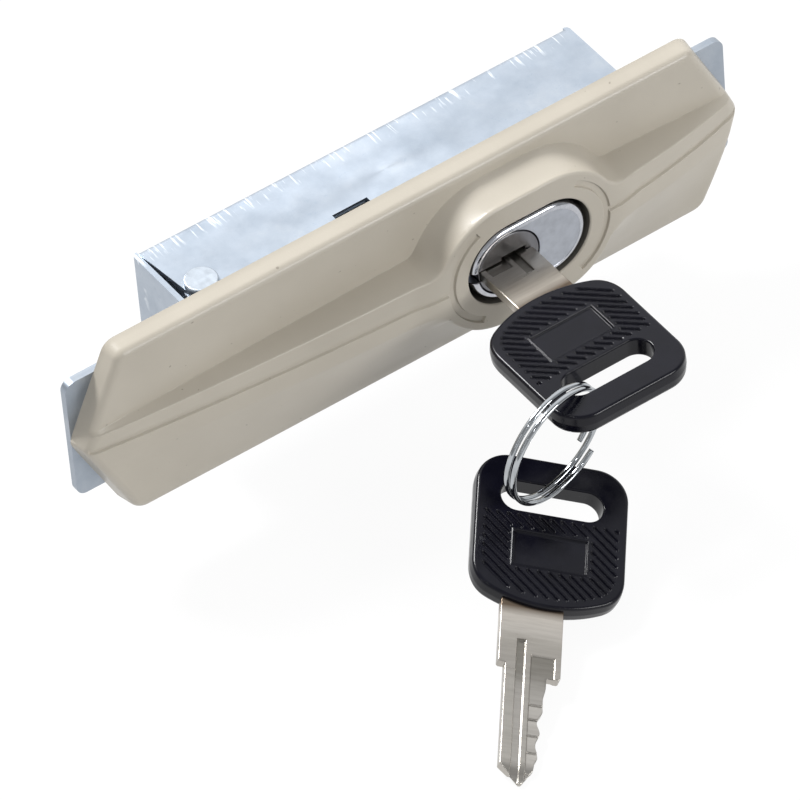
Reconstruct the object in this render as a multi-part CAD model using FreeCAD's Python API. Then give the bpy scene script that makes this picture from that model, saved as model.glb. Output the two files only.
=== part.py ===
import FreeCAD, Part
import math
import os

# Cabinet lock: a moulded handle bezel on a steel plate, a folded steel case behind it,
# a wafer cylinder, a slide bar, a hook bolt, a key in the lock and a spare key on a ring.
# Millimetres. X runs along the lock, Y to the rear, Z up. The bezel's back face lies at y = 0.

# Bezel
BEZEL_HALF_LENGTH = 70.0
BEZEL_TOP = 18.85
BEZEL_BOTTOM = 19.8
CHEVRON_RUN = 9.2
RIM_DEPTH = 4.0
RIM_DRAFT = 0.74
BOTTOM_CORNER_R = 4.0
WALL = 2.0
RIDGE_TOP = 5.1
RIDGE_BOTTOM = 4.2
RIDGE_FOOT = 5.7
CROWN_X = 18.0
CROWN_DEPTH = 11.0
LEFT_BOW_DEPTH = 8.7
LEFT_BOW_X = -29.5
RIGHT_BOW_DEPTH = 9.1
RIGHT_BOW_X = 50.5
BOW_END_DEPTH = 4.3
GROOVE_WIDTH = 0.6
GROOVE_DEPTH = 0.5

# Collar round the lock face
COLLAR_X = 19.15
COLLAR_FRONT = 11.0
COLLAR_R = 13.8
COLLAR_HALF = 19.0
COLLAR_FOOT_GROWTH = 1.5
COLLAR_EDGE_R = 0.9
OPENING_R = 8.7
OPENING_HALF = 13.0
SLEEVE_WALL = 1.8
ARC_GROOVE_R = 11.4
ARC_GROOVE_WIDTH = 1.2
ARC_GROOVE_DEPTH = 0.4
ARC_GROOVE_ANGLE = 55.0

# Mounting plate
PLATE_HALF_LENGTH = 69.5
PLATE_HALF_HEIGHT = 13.3
PLATE_T = 1.5
PLATE_CORNER_R = 2.0
SCREW_X = 60.0
SCREW_HOLE_R = 2.1
BOSS_WALL = 1.5
BOSS_HOLE_R = 2.2
BOSS_HOLE_DEPTH = 2.8
BEZEL_SCREW_LEFT_GAP = 4.94
BEZEL_SCREW_RIGHT_GAP = 2.4
BEZEL_SCREW_Z = 9.0
BEZEL_SCREW_R = 1.1
BEZEL_SCREW_HEAD_R = 1.9
BEZEL_SCREW_HEAD_T = 0.9
BEZEL_SCREW_LENGTH = 4.0

# Case
CASE_LEFT = -42.06
CASE_RIGHT = 50.6
CASE_REAR = 20.44
CASE_HALF_HEIGHT = 12.93
SHEET = 1.0
BEND_R = 1.6
FLAP_GAP = 1.8
TAB_LENGTH = 8.0
TAB_X = (-18.0, 38.0)
WINDOW_X = (-9.6, -2.3)
WINDOW_REAR = 6.4
WINDOW_DEPTH = 3.6
RELIEF = 0.4

# Lock cylinder
PLUG_X = 14.85
FACE_DEPTH = 11.0
FACE_R = 7.9
FACE_HALF = 12.2
FACE_EDGE_R = 0.8
BARREL_R = 7.6
BARREL_FLAT = 7.0
BARREL_REAR = 14.0
PLUG_R = 6.4
PLUG_FIT = 0.06
PLUG_SINK = 0.1
PLUG_REAR = 14.2
SPIGOT_LENGTH = 1.3
SPIGOT_R = 2.8
SPIGOT_FLAT = 2.1
NOTCH_SIZE = 2.2
CLIP_T = 1.0
CLIP_R = 10.2
CLIP_GROOVE_R = 6.9

# Wafers
WAFER_COUNT = 5
WAFER_FIRST_Y = -7.0
WAFER_PITCH = 3.2
WAFER_T = 1.0
WAFER_HALF_HEIGHT = 3.9
WAFER_WINDOW_MARGIN = 0.45
WAFER_FIT = 0.08
SPRING_R = 0.75
SPRING_WALL = 0.2
SPRING_LENGTH = 3.9
SPRING_Z = 4.75
LUG_WIDTH = 0.8
WAFER_SHIFT = 0.4
CHANNEL_R = 6.7

# Cam, slide bar and hook
TURN = 90.0
SWING = 60.0
PIVOT_X = -36.8
PIVOT_Y = 6.6
TAIL_REACH = 5.6
CAM_T = 1.4
CAM_R = 6.4
CRANK_PIN_R = 1.2
CRANK_PIN_END = 19.1
CAM_WASHER_R = 3.0
CAM_WASHER_T = 0.4
CAM_SCREW_HEAD_R = 2.7
CAM_SCREW_HEAD_T = 1.3
CAM_SCREW_R = 1.1
SLIP = 0.2
BAR_T = 1.2
BAR_FLOOR_GAP = 0.1
BAR_HALF_WIDTH = 3.0
EAR_T = 1.2
EAR_FRONT = 17.6
EAR_HALF_WIDTH = 3.4
SLIDE_PIN_R = 1.1
STUD_X = (-6.0, 7.0)
STUD_R = 1.3
STUD_HEAD_R = 2.4
STUD_HEAD_T = 0.9
HOOK_T = 3.0
HOOK_REST_ANGLE = 8.0
HOOK_LENGTH = 27.0
HOOK_ROOT_R = 4.0
HOOK_ARM_HALF = 3.2
HOOK_NOSE = 4.2
RIVET_R = 2.0
RIVET_HEAD_R = 3.1
RIVET_HEAD_T = 1.3
SPACER_R = 3.2
PIVOT_WASHER_R = 4.2
PIVOT_WASHER_T = 0.5
RUN_FIT = 0.05

# Keys, in their own frame: X across the head, Y from the head to the tip
HEAD_HALF_WIDTH = 13.6
HEAD_LENGTH = 30.0
HEAD_ARCH = 4.3
HEAD_HALF_T = 2.0
HEAD_BEVEL = 0.6
HEAD_CORNER_R = 6.0
HEAD_SHOULDER_R = 2.0
HEAD_SLOT_Y = -21.8
HEAD_SLOT_HALF = 9.1
HEAD_SLOT_R = 2.95
SHANK_LEFT = -7.8
SHANK_RIGHT = 3.2
BLADE_LEFT = -6.6
BLADE_RIGHT = 0.8
BLADE_HALF_T = 1.05
BLADE_SINK = 6.0
SHOULDER_LEFT = 11.4
SHOULDER_RIGHT = 13.4
KEY_TIP = 34.7
KEY_TIP_HALF = 0.6
KEY_TIP_RUN = 3.4
KEY_GROOVE_X = -3.7
KEY_GROOVE_WIDTH = 1.1
KEY_GROOVE_DEPTH = 0.5
BITTING_FIRST = 19.0
BITTING_PITCH = 3.2
BITTING_R = 1.5
BITTING_DEPTHS = (0.4, 1.0, 1.3, 1.1)
KEY_SEAT_GAP = 0.1
KEY_SLOT_FIT = 0.12

# Split ring and spare key
RING_R = 11.35
RING_WIRE_R = 0.5
RING_PITCH = 1.45
RING_FROM_SLOT = (-13.31, -2.02, -6.79)
RING_NORMAL = (0.207, -0.971, -0.119)
SPARE_SLOT_FROM_RING = (-1.6, 0.32, -14.638)
SPARE_ALONG = (-0.6147, -0.7624, -0.2024)
SPARE_ACROSS = (0.7804, -0.5505, -0.2964)

# Values worked out from the sizes above
V = FreeCAD.Vector
CRANK_R = TAIL_REACH * math.tan(math.radians(SWING / 2)) / math.sin(math.radians(TURN / 2))
TRAVEL = 2 * TAIL_REACH * math.tan(math.radians(SWING / 2))
TAIL_X = PIVOT_X + TRAVEL / 2
TAIL_Y = PIVOT_Y + TAIL_REACH
CRANK_X = PLUG_X + TRAVEL / 2
CRANK_Z = -CRANK_R * math.cos(math.radians(TURN / 2))
BAR_Z = -CASE_HALF_HEIGHT + SHEET + BAR_FLOOR_GAP
BAR_TOP = BAR_Z + BAR_T
HOOK_Z = BAR_TOP + SLIP
HOOK_TOP = HOOK_Z + HOOK_T
HEAD_X = PLUG_X + (BLADE_LEFT + BLADE_RIGHT) / 2
HEAD_Y = -FACE_DEPTH + PLUG_SINK - KEY_SEAT_GAP - SHOULDER_LEFT
BLADE_HALF_WIDTH = (BLADE_RIGHT - BLADE_LEFT) / 2
COLLAR_ARC = COLLAR_HALF - COLLAR_R
BEZEL_SCREW_X = (CASE_LEFT - BEZEL_SCREW_LEFT_GAP, CASE_RIGHT + BEZEL_SCREW_RIGHT_GAP)
Y_AXIS = V(0, 1, 0)
Z_AXIS = V(0, 0, 1)
RING_CENTRE = V(HEAD_X, HEAD_Y + HEAD_SLOT_Y, 0) + V(*RING_FROM_SLOT)
SPARE_ORIGIN = RING_CENTRE + V(*SPARE_SLOT_FROM_RING) - V(*SPARE_ALONG).normalize() * HEAD_SLOT_Y


def box(x0, x1, y0, y1, z0, z1):
    return Part.makeBox(x1 - x0, y1 - y0, z1 - z0, V(x0, y0, z0))


def rod(r, base, length, axis=Z_AXIS):
    return Part.makeCylinder(r, length, V(*base), axis)


def polygon(points):
    corners = [V(*p) for p in points]
    return Part.makePolygon(corners + [corners[0]])


def prism(wire, direction):
    return Part.Face(wire).extrude(V(*direction))


def stadium(x, half, r, y):
    """Wire of a stadium lying along X in the plane at y."""
    a = half - r
    top_l, top_r = V(x - a, y, r), V(x + a, y, r)
    low_l, low_r = V(x - a, y, -r), V(x + a, y, -r)
    edges = [
        Part.LineSegment(top_l, top_r).toShape(),
        Part.Arc(top_r, V(x + half, y, 0), low_r).toShape(),
        Part.LineSegment(low_r, low_l).toShape(),
        Part.Arc(low_l, V(x - half, y, 0), top_l).toShape(),
    ]
    return Part.Wire(edges)


def stadium_block(x, half, r, y0, y1):
    return prism(stadium(x, half, r, y0), (0, y1 - y0, 0))


def bezel_outline(inset, y):
    """Six-sided outline with chevron ends and rounded bottom corners."""
    half = BEZEL_HALF_LENGTH - inset * 1.1
    top = BEZEL_TOP - inset
    low = BEZEL_BOTTOM - inset
    r = BOTTOM_CORNER_R
    slope = math.atan2(CHEVRON_RUN, low)
    turn = math.radians(90) - slope
    cut = r * math.tan(turn / 2)
    corner = half - CHEVRON_RUN
    side = V(math.sin(slope), 0, math.cos(slope))
    edges = []
    for sign in (1, -1):
        tip = V(sign * half, y, 0)
        upper = V(sign * corner, y, top)
        knee = V(sign * corner, y, -low)
        start = knee + V(sign * side.x * cut, 0, side.z * cut)
        end = knee - V(sign * cut, 0, 0)
        centre = V(end.x, y, -low + r)
        mid_angle = math.radians(90) - turn / 2
        mid = centre + V(sign * r * math.cos(mid_angle), 0, -r * math.sin(mid_angle))
        edges.append((upper, tip, start, mid, end))
    right, left = edges
    wire = [
        Part.LineSegment(left[0], right[0]).toShape(),
        Part.LineSegment(right[0], right[1]).toShape(),
        Part.LineSegment(right[1], right[2]).toShape(),
        Part.Arc(right[2], right[3], right[4]).toShape(),
        Part.LineSegment(right[4], left[4]).toShape(),
        Part.Arc(left[4], left[3], left[2]).toShape(),
        Part.LineSegment(left[2], left[1]).toShape(),
        Part.LineSegment(left[1], left[0]).toShape(),
    ]
    return Part.Wire(wire)


def drafted_block(inset, front):
    """Slab with the bezel's outline that narrows towards the front."""
    draft = RIM_DRAFT * front / RIM_DEPTH
    back = bezel_outline(inset, 0)
    face = bezel_outline(inset + draft, -front)
    return Part.makeLoft([back, face], True, True)


def bow_profile(z, sink=0.0, base=0.0, reach=0.0):
    """Closed profile of the bow at height z, its front moved back by sink."""
    end = BEZEL_HALF_LENGTH + reach
    left_end = V(-end, -BOW_END_DEPTH + sink, z)
    left_mid = V(LEFT_BOW_X, -LEFT_BOW_DEPTH + sink, z)
    crown = V(CROWN_X, -CROWN_DEPTH + sink, z)
    right_mid = V(RIGHT_BOW_X, -RIGHT_BOW_DEPTH + sink, z)
    right_end = V(end, -BOW_END_DEPTH + sink, z)
    edges = [
        Part.Arc(left_end, left_mid, crown).toShape(),
        Part.Arc(crown, right_mid, right_end).toShape(),
        Part.LineSegment(right_end, V(end, base, z)).toShape(),
        Part.LineSegment(V(end, base, z), V(-end, base, z)).toShape(),
        Part.LineSegment(V(-end, base, z), left_end).toShape(),
    ]
    return Part.Wire(edges)


def flat_profile(z, depth):
    """Flat counterpart of the bow profile, with the same number of edges."""
    end = BEZEL_HALF_LENGTH
    front_l, front_m, front_r = V(-end, -depth, z), V(CROWN_X, -depth, z), V(end, -depth, z)
    back_r, back_l = V(end, 0, z), V(-end, 0, z)
    corners = [front_l, front_m, front_r, back_r, back_l, front_l]
    return Part.Wire([Part.LineSegment(p, q).toShape() for p, q in zip(corners, corners[1:])])


def ridge(wall):
    """Belt that bows forward along the middle, with the lower face sloping back from it."""
    sections = [
        flat_profile(-BEZEL_BOTTOM + wall, RIM_DEPTH - wall),
        bow_profile(-RIDGE_BOTTOM + wall * 0.5, wall),
        bow_profile(RIDGE_TOP - wall, wall),
        flat_profile(RIDGE_FOOT - wall, RIM_DEPTH - wall),
    ]
    return Part.makeLoft(sections, True, True)


def bezel_form(wall):
    """Outer form of the bezel, or its hollow when wall is the wall thickness."""
    envelope = drafted_block(wall, CROWN_DEPTH + 2)
    rim = drafted_block(wall, RIM_DEPTH - wall)
    return ridge(wall).common(envelope).fuse(rim).removeSplitter()


def collar_form():
    """Stadium boss whose flank sweeps out into a concave foot."""
    steps = ((RIM_DEPTH - 0.5, 1.0), (RIM_DEPTH + 0.9, 0.45), (RIM_DEPTH + 3.0, 0.1), (COLLAR_FRONT, 0.0))
    wires = []
    for depth, share in steps:
        grow = COLLAR_FOOT_GROWTH * share
        wires.append(stadium(COLLAR_X, COLLAR_HALF + grow, COLLAR_R + grow, -depth))
    flank = Part.makeLoft(wires, True, False)
    rim = [e for e in flank.Edges if abs(e.BoundBox.YMin + COLLAR_FRONT) < 0.01 and e.BoundBox.YLength < 0.01]
    return flank.makeFillet(COLLAR_EDGE_R, rim)


def arc_groove(side):
    """Shallow arc cut into the collar face, side is -1 at the left and 1 at the right."""
    centre = V(COLLAR_X + side * COLLAR_ARC, -COLLAR_FRONT - 1, 0)
    depth = ARC_GROOVE_DEPTH + 1
    outer = Part.makeCylinder(ARC_GROOVE_R + ARC_GROOVE_WIDTH / 2, depth, centre, Y_AXIS)
    inner = Part.makeCylinder(ARC_GROOVE_R - ARC_GROOVE_WIDTH / 2, depth, centre, Y_AXIS)
    reach = 2 * ARC_GROOVE_R
    rise = reach * math.tan(math.radians(ARC_GROOVE_ANGLE))
    wedge = polygon([
        (centre.x, centre.y, 0),
        (centre.x + side * reach, centre.y, rise),
        (centre.x + side * reach, centre.y, -rise),
    ])
    return outer.cut(inner).common(prism(wedge, (0, depth, 0)))


def make_bezel():
    body = bezel_form(0.0)
    lift = prism(bow_profile(-GROOVE_WIDTH / 2, -1.0, -1.0), (0, 0, GROOVE_WIDTH))
    keep = prism(bow_profile(-GROOVE_WIDTH / 2, GROOVE_DEPTH, 0.0), (0, 0, GROOVE_WIDTH))
    body = body.cut(lift.cut(keep))
    body = body.fuse(collar_form())
    hollow = bezel_form(WALL)
    pocket = stadium_block(COLLAR_X, COLLAR_HALF - WALL, COLLAR_R - WALL, 0, -COLLAR_FRONT + WALL)
    body = body.cut(hollow).cut(pocket)
    sleeve = stadium_block(
        COLLAR_X, OPENING_HALF + SLEEVE_WALL, OPENING_R + SLEEVE_WALL, 0, -COLLAR_FRONT + WALL)
    body = body.fuse(sleeve)
    solid_form = bezel_form(WALL / 2)
    for x, z, r in boss_places():
        boss = rod(r + BOSS_WALL, (x, -CROWN_DEPTH, z), CROWN_DEPTH, Y_AXIS)
        body = body.fuse(boss.common(solid_form))
    opening = stadium_block(COLLAR_X, OPENING_HALF, OPENING_R, 1, -COLLAR_FRONT - 1)
    body = body.cut(opening)
    for x, z, r in boss_places():
        body = body.cut(rod(r, (x, -BOSS_HOLE_DEPTH, z), BOSS_HOLE_DEPTH + 1, Y_AXIS))
    for side in (-1, 1):
        body = body.cut(arc_groove(side))
    return body.removeSplitter()


def boss_places():
    """Blind screw bosses behind the bezel: mounting holes, then the bezel's own screws."""
    mounts = [(side * SCREW_X, 0, BOSS_HOLE_R) for side in (-1, 1)]
    own = [(x, z, BEZEL_SCREW_R + RUN_FIT) for x in BEZEL_SCREW_X for z in (-BEZEL_SCREW_Z, BEZEL_SCREW_Z)]
    return mounts + own


def rounded_plate(x0, x1, half_height, r, y0, t):
    plate = box(x0, x1, y0, y0 + t, -half_height, half_height)
    corners = [e for e in plate.Edges if e.BoundBox.YLength > t * 0.9]
    return plate.makeFillet(r, corners)


def make_mounting_plate():
    half = PLATE_HALF_LENGTH
    plate = rounded_plate(-half, half, PLATE_HALF_HEIGHT, PLATE_CORNER_R, 0, PLATE_T)
    barrel = rod(BARREL_R + 0.1, (PLUG_X, -1, 0), PLATE_T + 2, Y_AXIS)
    flat = BARREL_FLAT + 0.1
    barrel = barrel.common(box(PLUG_X - 20, PLUG_X + 20, -2, PLATE_T + 2, -flat, flat))
    plate = plate.cut(barrel)
    for side in (-1, 1):
        plate = plate.cut(rod(SCREW_HOLE_R, (side * SCREW_X, -1, 0), PLATE_T + 2, Y_AXIS))
    for x in BEZEL_SCREW_X:
        for z in (-BEZEL_SCREW_Z, BEZEL_SCREW_Z):
            plate = plate.cut(rod(BEZEL_SCREW_R + 0.1, (x, -1, z), PLATE_T + 2, Y_AXIS))
    for x, z in tab_places():
        plate = plate.cut(box(x - TAB_LENGTH / 2, x + TAB_LENGTH / 2, -1, PLATE_T + 1, z, z + SHEET))
    return plate


def tab_places():
    """Tabs of the case that pass through the plate, x centre and lower z."""
    inner = CASE_HALF_HEIGHT - SHEET
    return [(x, z) for x in TAB_X for z in (-CASE_HALF_HEIGHT, inner)]


def hook_slot():
    """Opening through the rear wall and round the left corner for the hook and the bar."""
    z0 = BAR_Z - BAR_FLOOR_GAP
    z1 = HOOK_TOP + 4 * SLIP
    right = PIVOT_X + HOOK_LENGTH + 2
    return box(CASE_LEFT - 1, right, PIVOT_Y + 1, CASE_REAR + 1, z0, z1)


def make_case_shell():
    outer = box(CASE_LEFT + SHEET, CASE_RIGHT - SHEET, PLATE_T, CASE_REAR,
                -CASE_HALF_HEIGHT, CASE_HALF_HEIGHT)
    long_bends = [e for e in outer.Edges if e.BoundBox.XLength > 50 and e.BoundBox.YMin > CASE_REAR - 0.1]
    outer = outer.makeFillet(BEND_R, long_bends)
    inner = box(CASE_LEFT - 1, CASE_RIGHT + 1, PLATE_T - 1, CASE_REAR - SHEET,
                -CASE_HALF_HEIGHT + SHEET, CASE_HALF_HEIGHT - SHEET)
    inner_rear = CASE_REAR - SHEET - 0.1
    inner_bends = [e for e in inner.Edges if e.BoundBox.XLength > 50 and e.BoundBox.YMin > inner_rear]
    inner = inner.makeFillet(BEND_R - SHEET, inner_bends)
    shell = outer.cut(inner)
    shell = shell.cut(flap_wedge())
    shell = shell.fuse(end_flap(CASE_LEFT, 1)).fuse(end_flap(CASE_RIGHT, -1))
    for x, z in tab_places():
        tab = box(x - TAB_LENGTH / 2 + 0.1, x + TAB_LENGTH / 2 - 0.1, 0, PLATE_T + 0.1, z, z + SHEET)
        shell = shell.fuse(tab)
    shell = shell.cut(window())
    shell = shell.fuse(window_tongue())
    for z in (-CASE_HALF_HEIGHT - 1, CASE_HALF_HEIGHT - SHEET - 1):
        shell = shell.cut(rod(RIVET_R, (PIVOT_X, PIVOT_Y, z), SHEET + 2))
    for x in STUD_X:
        shell = shell.cut(rod(STUD_R, (x, TAIL_Y, -CASE_HALF_HEIGHT - 1), SHEET + 2))
    shell = shell.cut(hook_slot())
    return shell.removeSplitter()


def flap_wedge():
    """Sliver that leaves the slanted gap between the top sheet and the left flap."""
    gap = polygon([
        (CASE_LEFT, PLATE_T, CASE_HALF_HEIGHT - SHEET - 0.5),
        (CASE_LEFT + SHEET + FLAP_GAP, PLATE_T, CASE_HALF_HEIGHT - SHEET - 0.5),
        (CASE_LEFT + SHEET, CASE_REAR - BEND_R, CASE_HALF_HEIGHT - SHEET - 0.5),
        (CASE_LEFT, CASE_REAR - BEND_R, CASE_HALF_HEIGHT - SHEET - 0.5),
    ])
    return prism(gap, (0, 0, 2 * SHEET))


def end_flap(x, inward):
    """End wall bent forward from the rear wall, a little lower than the case."""
    x0, x1 = sorted((x, x + inward * SHEET))
    reach = CASE_HALF_HEIGHT - RELIEF
    flap = box(x0, x1, PLATE_T, CASE_REAR, -reach, reach)
    upright = [e for e in flap.Edges if e.BoundBox.ZLength > reach and e.BoundBox.YMin > CASE_REAR - 0.1]
    corner = [e for e in upright if abs(e.BoundBox.XMin - x) < 0.01]
    return flap.makeFillet(SHEET * 0.9, corner)


def window():
    x0, x1 = WINDOW_X
    low, high = CASE_HALF_HEIGHT - SHEET - 1, CASE_HALF_HEIGHT + 1
    return box(x0, x1, WINDOW_REAR - WINDOW_DEPTH, WINDOW_REAR, low, high)


def window_tongue():
    """Tongue lanced from the top sheet and bent down at the window's rear edge."""
    x0, x1 = WINDOW_X
    inner = CASE_HALF_HEIGHT - SHEET
    y0 = WINDOW_REAR - 0.2
    return box(x0 + RELIEF, x1 - RELIEF, y0, y0 + SHEET, inner - 3.0, inner + 0.3)


def make_rivet():
    span = 2 * CASE_HALF_HEIGHT
    shank = rod(RIVET_R, (PIVOT_X, PIVOT_Y, -CASE_HALF_HEIGHT), span)
    heads = [rod(RIVET_HEAD_R, (PIVOT_X, PIVOT_Y, z), RIVET_HEAD_T)
             for z in (CASE_HALF_HEIGHT, -CASE_HALF_HEIGHT - RIVET_HEAD_T)]
    top_rim = [e for e in heads[0].Edges if e.BoundBox.ZMin > CASE_HALF_HEIGHT + RIVET_HEAD_T - 0.01]
    heads[0] = heads[0].makeFillet(0.3, top_rim)
    return shank.fuse(heads).removeSplitter()


def ring_solid(x, y, z, r_in, r_out, t):
    return rod(r_out, (x, y, z), t).cut(rod(r_in, (x, y, z - 1), t + 2))


def make_pivot_spacer():
    bottom = HOOK_TOP + SLIP / 2 + PIVOT_WASHER_T
    height = CASE_HALF_HEIGHT - SHEET - bottom
    return ring_solid(PIVOT_X, PIVOT_Y, bottom, RIVET_R + RUN_FIT, SPACER_R, height)


def make_pivot_washer():
    bottom = HOOK_TOP + SLIP / 2
    return ring_solid(PIVOT_X, PIVOT_Y, bottom, RIVET_R + RUN_FIT, PIVOT_WASHER_R, PIVOT_WASHER_T)


def make_pivot_sleeve():
    bottom = -CASE_HALF_HEIGHT + SHEET
    return ring_solid(PIVOT_X, PIVOT_Y, bottom, RIVET_R + RUN_FIT, SPACER_R - 0.4, HOOK_Z - SLIP / 2 - bottom)


def make_hook():
    """Flat hook, drawn along X and turned to its rest angle about the pivot."""
    tail_angle = math.degrees(math.atan2(TAIL_REACH, TRAVEL / 2))
    root = rod(HOOK_ROOT_R, (0, 0, 0), HOOK_T)
    arm = box(0, HOOK_LENGTH - HOOK_NOSE, -HOOK_ARM_HALF, HOOK_ARM_HALF, 0, HOOK_T)
    nose = polygon([
        (HOOK_LENGTH - HOOK_NOSE - 3.6, HOOK_ARM_HALF, 0),
        (HOOK_LENGTH - HOOK_NOSE - 3.0, -HOOK_ARM_HALF - HOOK_NOSE * 0.3, 0),
        (HOOK_LENGTH - 1.4, -HOOK_ARM_HALF - HOOK_NOSE * 0.3, 0),
        (HOOK_LENGTH, -HOOK_ARM_HALF + 1.5, 0),
        (HOOK_LENGTH - 1.8, HOOK_ARM_HALF, 0),
    ])
    arm = arm.fuse(prism(nose, (0, 0, HOOK_T)))
    arm.rotate(V(0, 0, 0), Z_AXIS, HOOK_REST_ANGLE)
    far = math.hypot(TAIL_REACH, TRAVEL / 2)
    slot_half = SLIDE_PIN_R + SLIP
    tail_end = far + slot_half + 1.1
    tail = box(0, tail_end, -slot_half - 1.2, slot_half + 1.2, 0, HOOK_T)
    tail.rotate(V(0, 0, 0), Z_AXIS, tail_angle)
    hook = root.fuse([arm, tail]).removeSplitter()
    slot = box(TAIL_REACH, far, -slot_half, slot_half, -1, HOOK_T + 1)
    slot = slot.fuse([rod(slot_half, (r, 0, -1), HOOK_T + 2) for r in (TAIL_REACH, far)])
    slot.rotate(V(0, 0, 0), Z_AXIS, tail_angle)
    hook = hook.cut(slot).cut(rod(RIVET_R + RUN_FIT, (0, 0, -1), HOOK_T + 2))
    hook.translate(V(PIVOT_X, PIVOT_Y, HOOK_Z))
    return hook.removeSplitter()


def make_slide_bar():
    left = TAIL_X - SLIDE_PIN_R - 0.3
    right = CRANK_X + EAR_HALF_WIDTH
    y0, y1 = TAIL_Y - BAR_HALF_WIDTH, TAIL_Y + BAR_HALF_WIDTH
    bar = box(TAIL_X, right, y0, y1, BAR_Z, BAR_TOP)
    nose = rod(SLIDE_PIN_R + 0.3, (TAIL_X, TAIL_Y, BAR_Z), BAR_T)
    neck_end = TAIL_X + 6
    bar = bar.cut(box(left - 1, neck_end, y0 - 1, TAIL_Y - SLIDE_PIN_R - 0.3, BAR_Z - 1, BAR_TOP + 1))
    bar = bar.cut(box(left - 1, neck_end, TAIL_Y + SLIDE_PIN_R + 0.3, y1 + 1, BAR_Z - 1, BAR_TOP + 1))
    foot = box(CRANK_X - EAR_HALF_WIDTH, right, y1, EAR_FRONT + EAR_T, BAR_Z, BAR_TOP)
    ear_top = CRANK_Z + CRANK_PIN_R + SLIP + 1.2
    ear = box(CRANK_X - EAR_HALF_WIDTH, right, EAR_FRONT, EAR_FRONT + EAR_T, BAR_Z, ear_top)
    bar = bar.fuse([nose, foot, ear])
    for x in STUD_X:
        half = STUD_R + SLIP
        slot = box(x, x + TRAVEL, TAIL_Y - half, TAIL_Y + half, BAR_Z - 1, BAR_TOP + 1)
        ends = [rod(half, (end, TAIL_Y, BAR_Z - 1), BAR_T + 2) for end in (x, x + TRAVEL)]
        bar = bar.cut(slot.fuse(ends))
    half = CRANK_PIN_R + SLIP
    slot = box(CRANK_X - half, CRANK_X + half, EAR_FRONT - 1, EAR_FRONT + EAR_T + 1, -CRANK_R, CRANK_Z)
    ends = [rod(half, (CRANK_X, EAR_FRONT - 1, z), EAR_T + 2, Y_AXIS) for z in (-CRANK_R, CRANK_Z)]
    bar = bar.cut(slot.fuse(ends))
    return bar.removeSplitter()


def make_slide_pin():
    return rod(SLIDE_PIN_R, (TAIL_X, TAIL_Y, BAR_TOP), HOOK_T + SLIP)


def make_guide_studs():
    studs = []
    for x in STUD_X:
        neck = rod(STUD_R, (x, TAIL_Y, -CASE_HALF_HEIGHT), BAR_TOP + SLIP / 2 + CASE_HALF_HEIGHT)
        head = rod(STUD_HEAD_R, (x, TAIL_Y, BAR_TOP + SLIP / 2), STUD_HEAD_T)
        studs.append(neck.fuse(head).removeSplitter())
    return Part.makeCompound(studs)


def make_housing():
    """Die-cast housing: oval face in the bezel's opening and a flatted barrel behind it."""
    face = stadium_block(COLLAR_X, FACE_HALF, FACE_R, -FACE_DEPTH, 0)
    rim = [e for e in face.Edges if e.BoundBox.YMax < -FACE_DEPTH + 0.01]
    face = face.makeFillet(FACE_EDGE_R, rim)
    barrel = rod(BARREL_R, (PLUG_X, -0.5, 0), BARREL_REAR + 0.5, Y_AXIS)
    barrel = barrel.common(box(PLUG_X - 20, PLUG_X + 20, -1, BARREL_REAR + 1, -BARREL_FLAT, BARREL_FLAT))
    groove = rod(BARREL_R + 2, (PLUG_X, PLATE_T, 0), CLIP_T + 0.1, Y_AXIS)
    groove = groove.cut(rod(CLIP_GROOVE_R, (PLUG_X, PLATE_T - 1, 0), CLIP_T + 3, Y_AXIS))
    housing = face.fuse(barrel).cut(groove)
    bore_length = FACE_DEPTH + BARREL_REAR + 2
    housing = housing.cut(rod(PLUG_R + PLUG_FIT, (PLUG_X, -FACE_DEPTH - 1, 0), bore_length, Y_AXIS))
    channel_y = wafer_places()[0] - WAFER_PITCH / 2
    channel = rod(CHANNEL_R, (PLUG_X, channel_y, 0), WAFER_COUNT * WAFER_PITCH, Y_AXIS)
    reach = WAFER_HALF_HEIGHT + SLIP
    for x, z in ((20, reach), (reach, 20)):
        housing = housing.cut(channel.common(box(PLUG_X - x, PLUG_X + x, -20, 20, -z, z)))
    notch = box(PLUG_X - PLUG_R - 1.2, PLUG_X - PLUG_R + 0.5, -FACE_DEPTH - 1, -FACE_DEPTH + 2.0,
                -NOTCH_SIZE / 2, NOTCH_SIZE / 2)
    return housing.cut(notch).removeSplitter()


def make_housing_clip():
    """Horseshoe clip pushed into the barrel groove from the left, behind the plate."""
    clip = rod(CLIP_R, (PLUG_X, PLATE_T, 0), CLIP_T, Y_AXIS)
    inner = CLIP_GROOVE_R + 0.05
    clip = clip.cut(rod(inner, (PLUG_X, PLATE_T - 1, 0), CLIP_T + 2, Y_AXIS))
    mouth = box(PLUG_X, PLUG_X + 20, PLATE_T - 1, PLATE_T + CLIP_T + 1, -inner + 0.4, inner - 0.4)
    return clip.cut(mouth)


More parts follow.
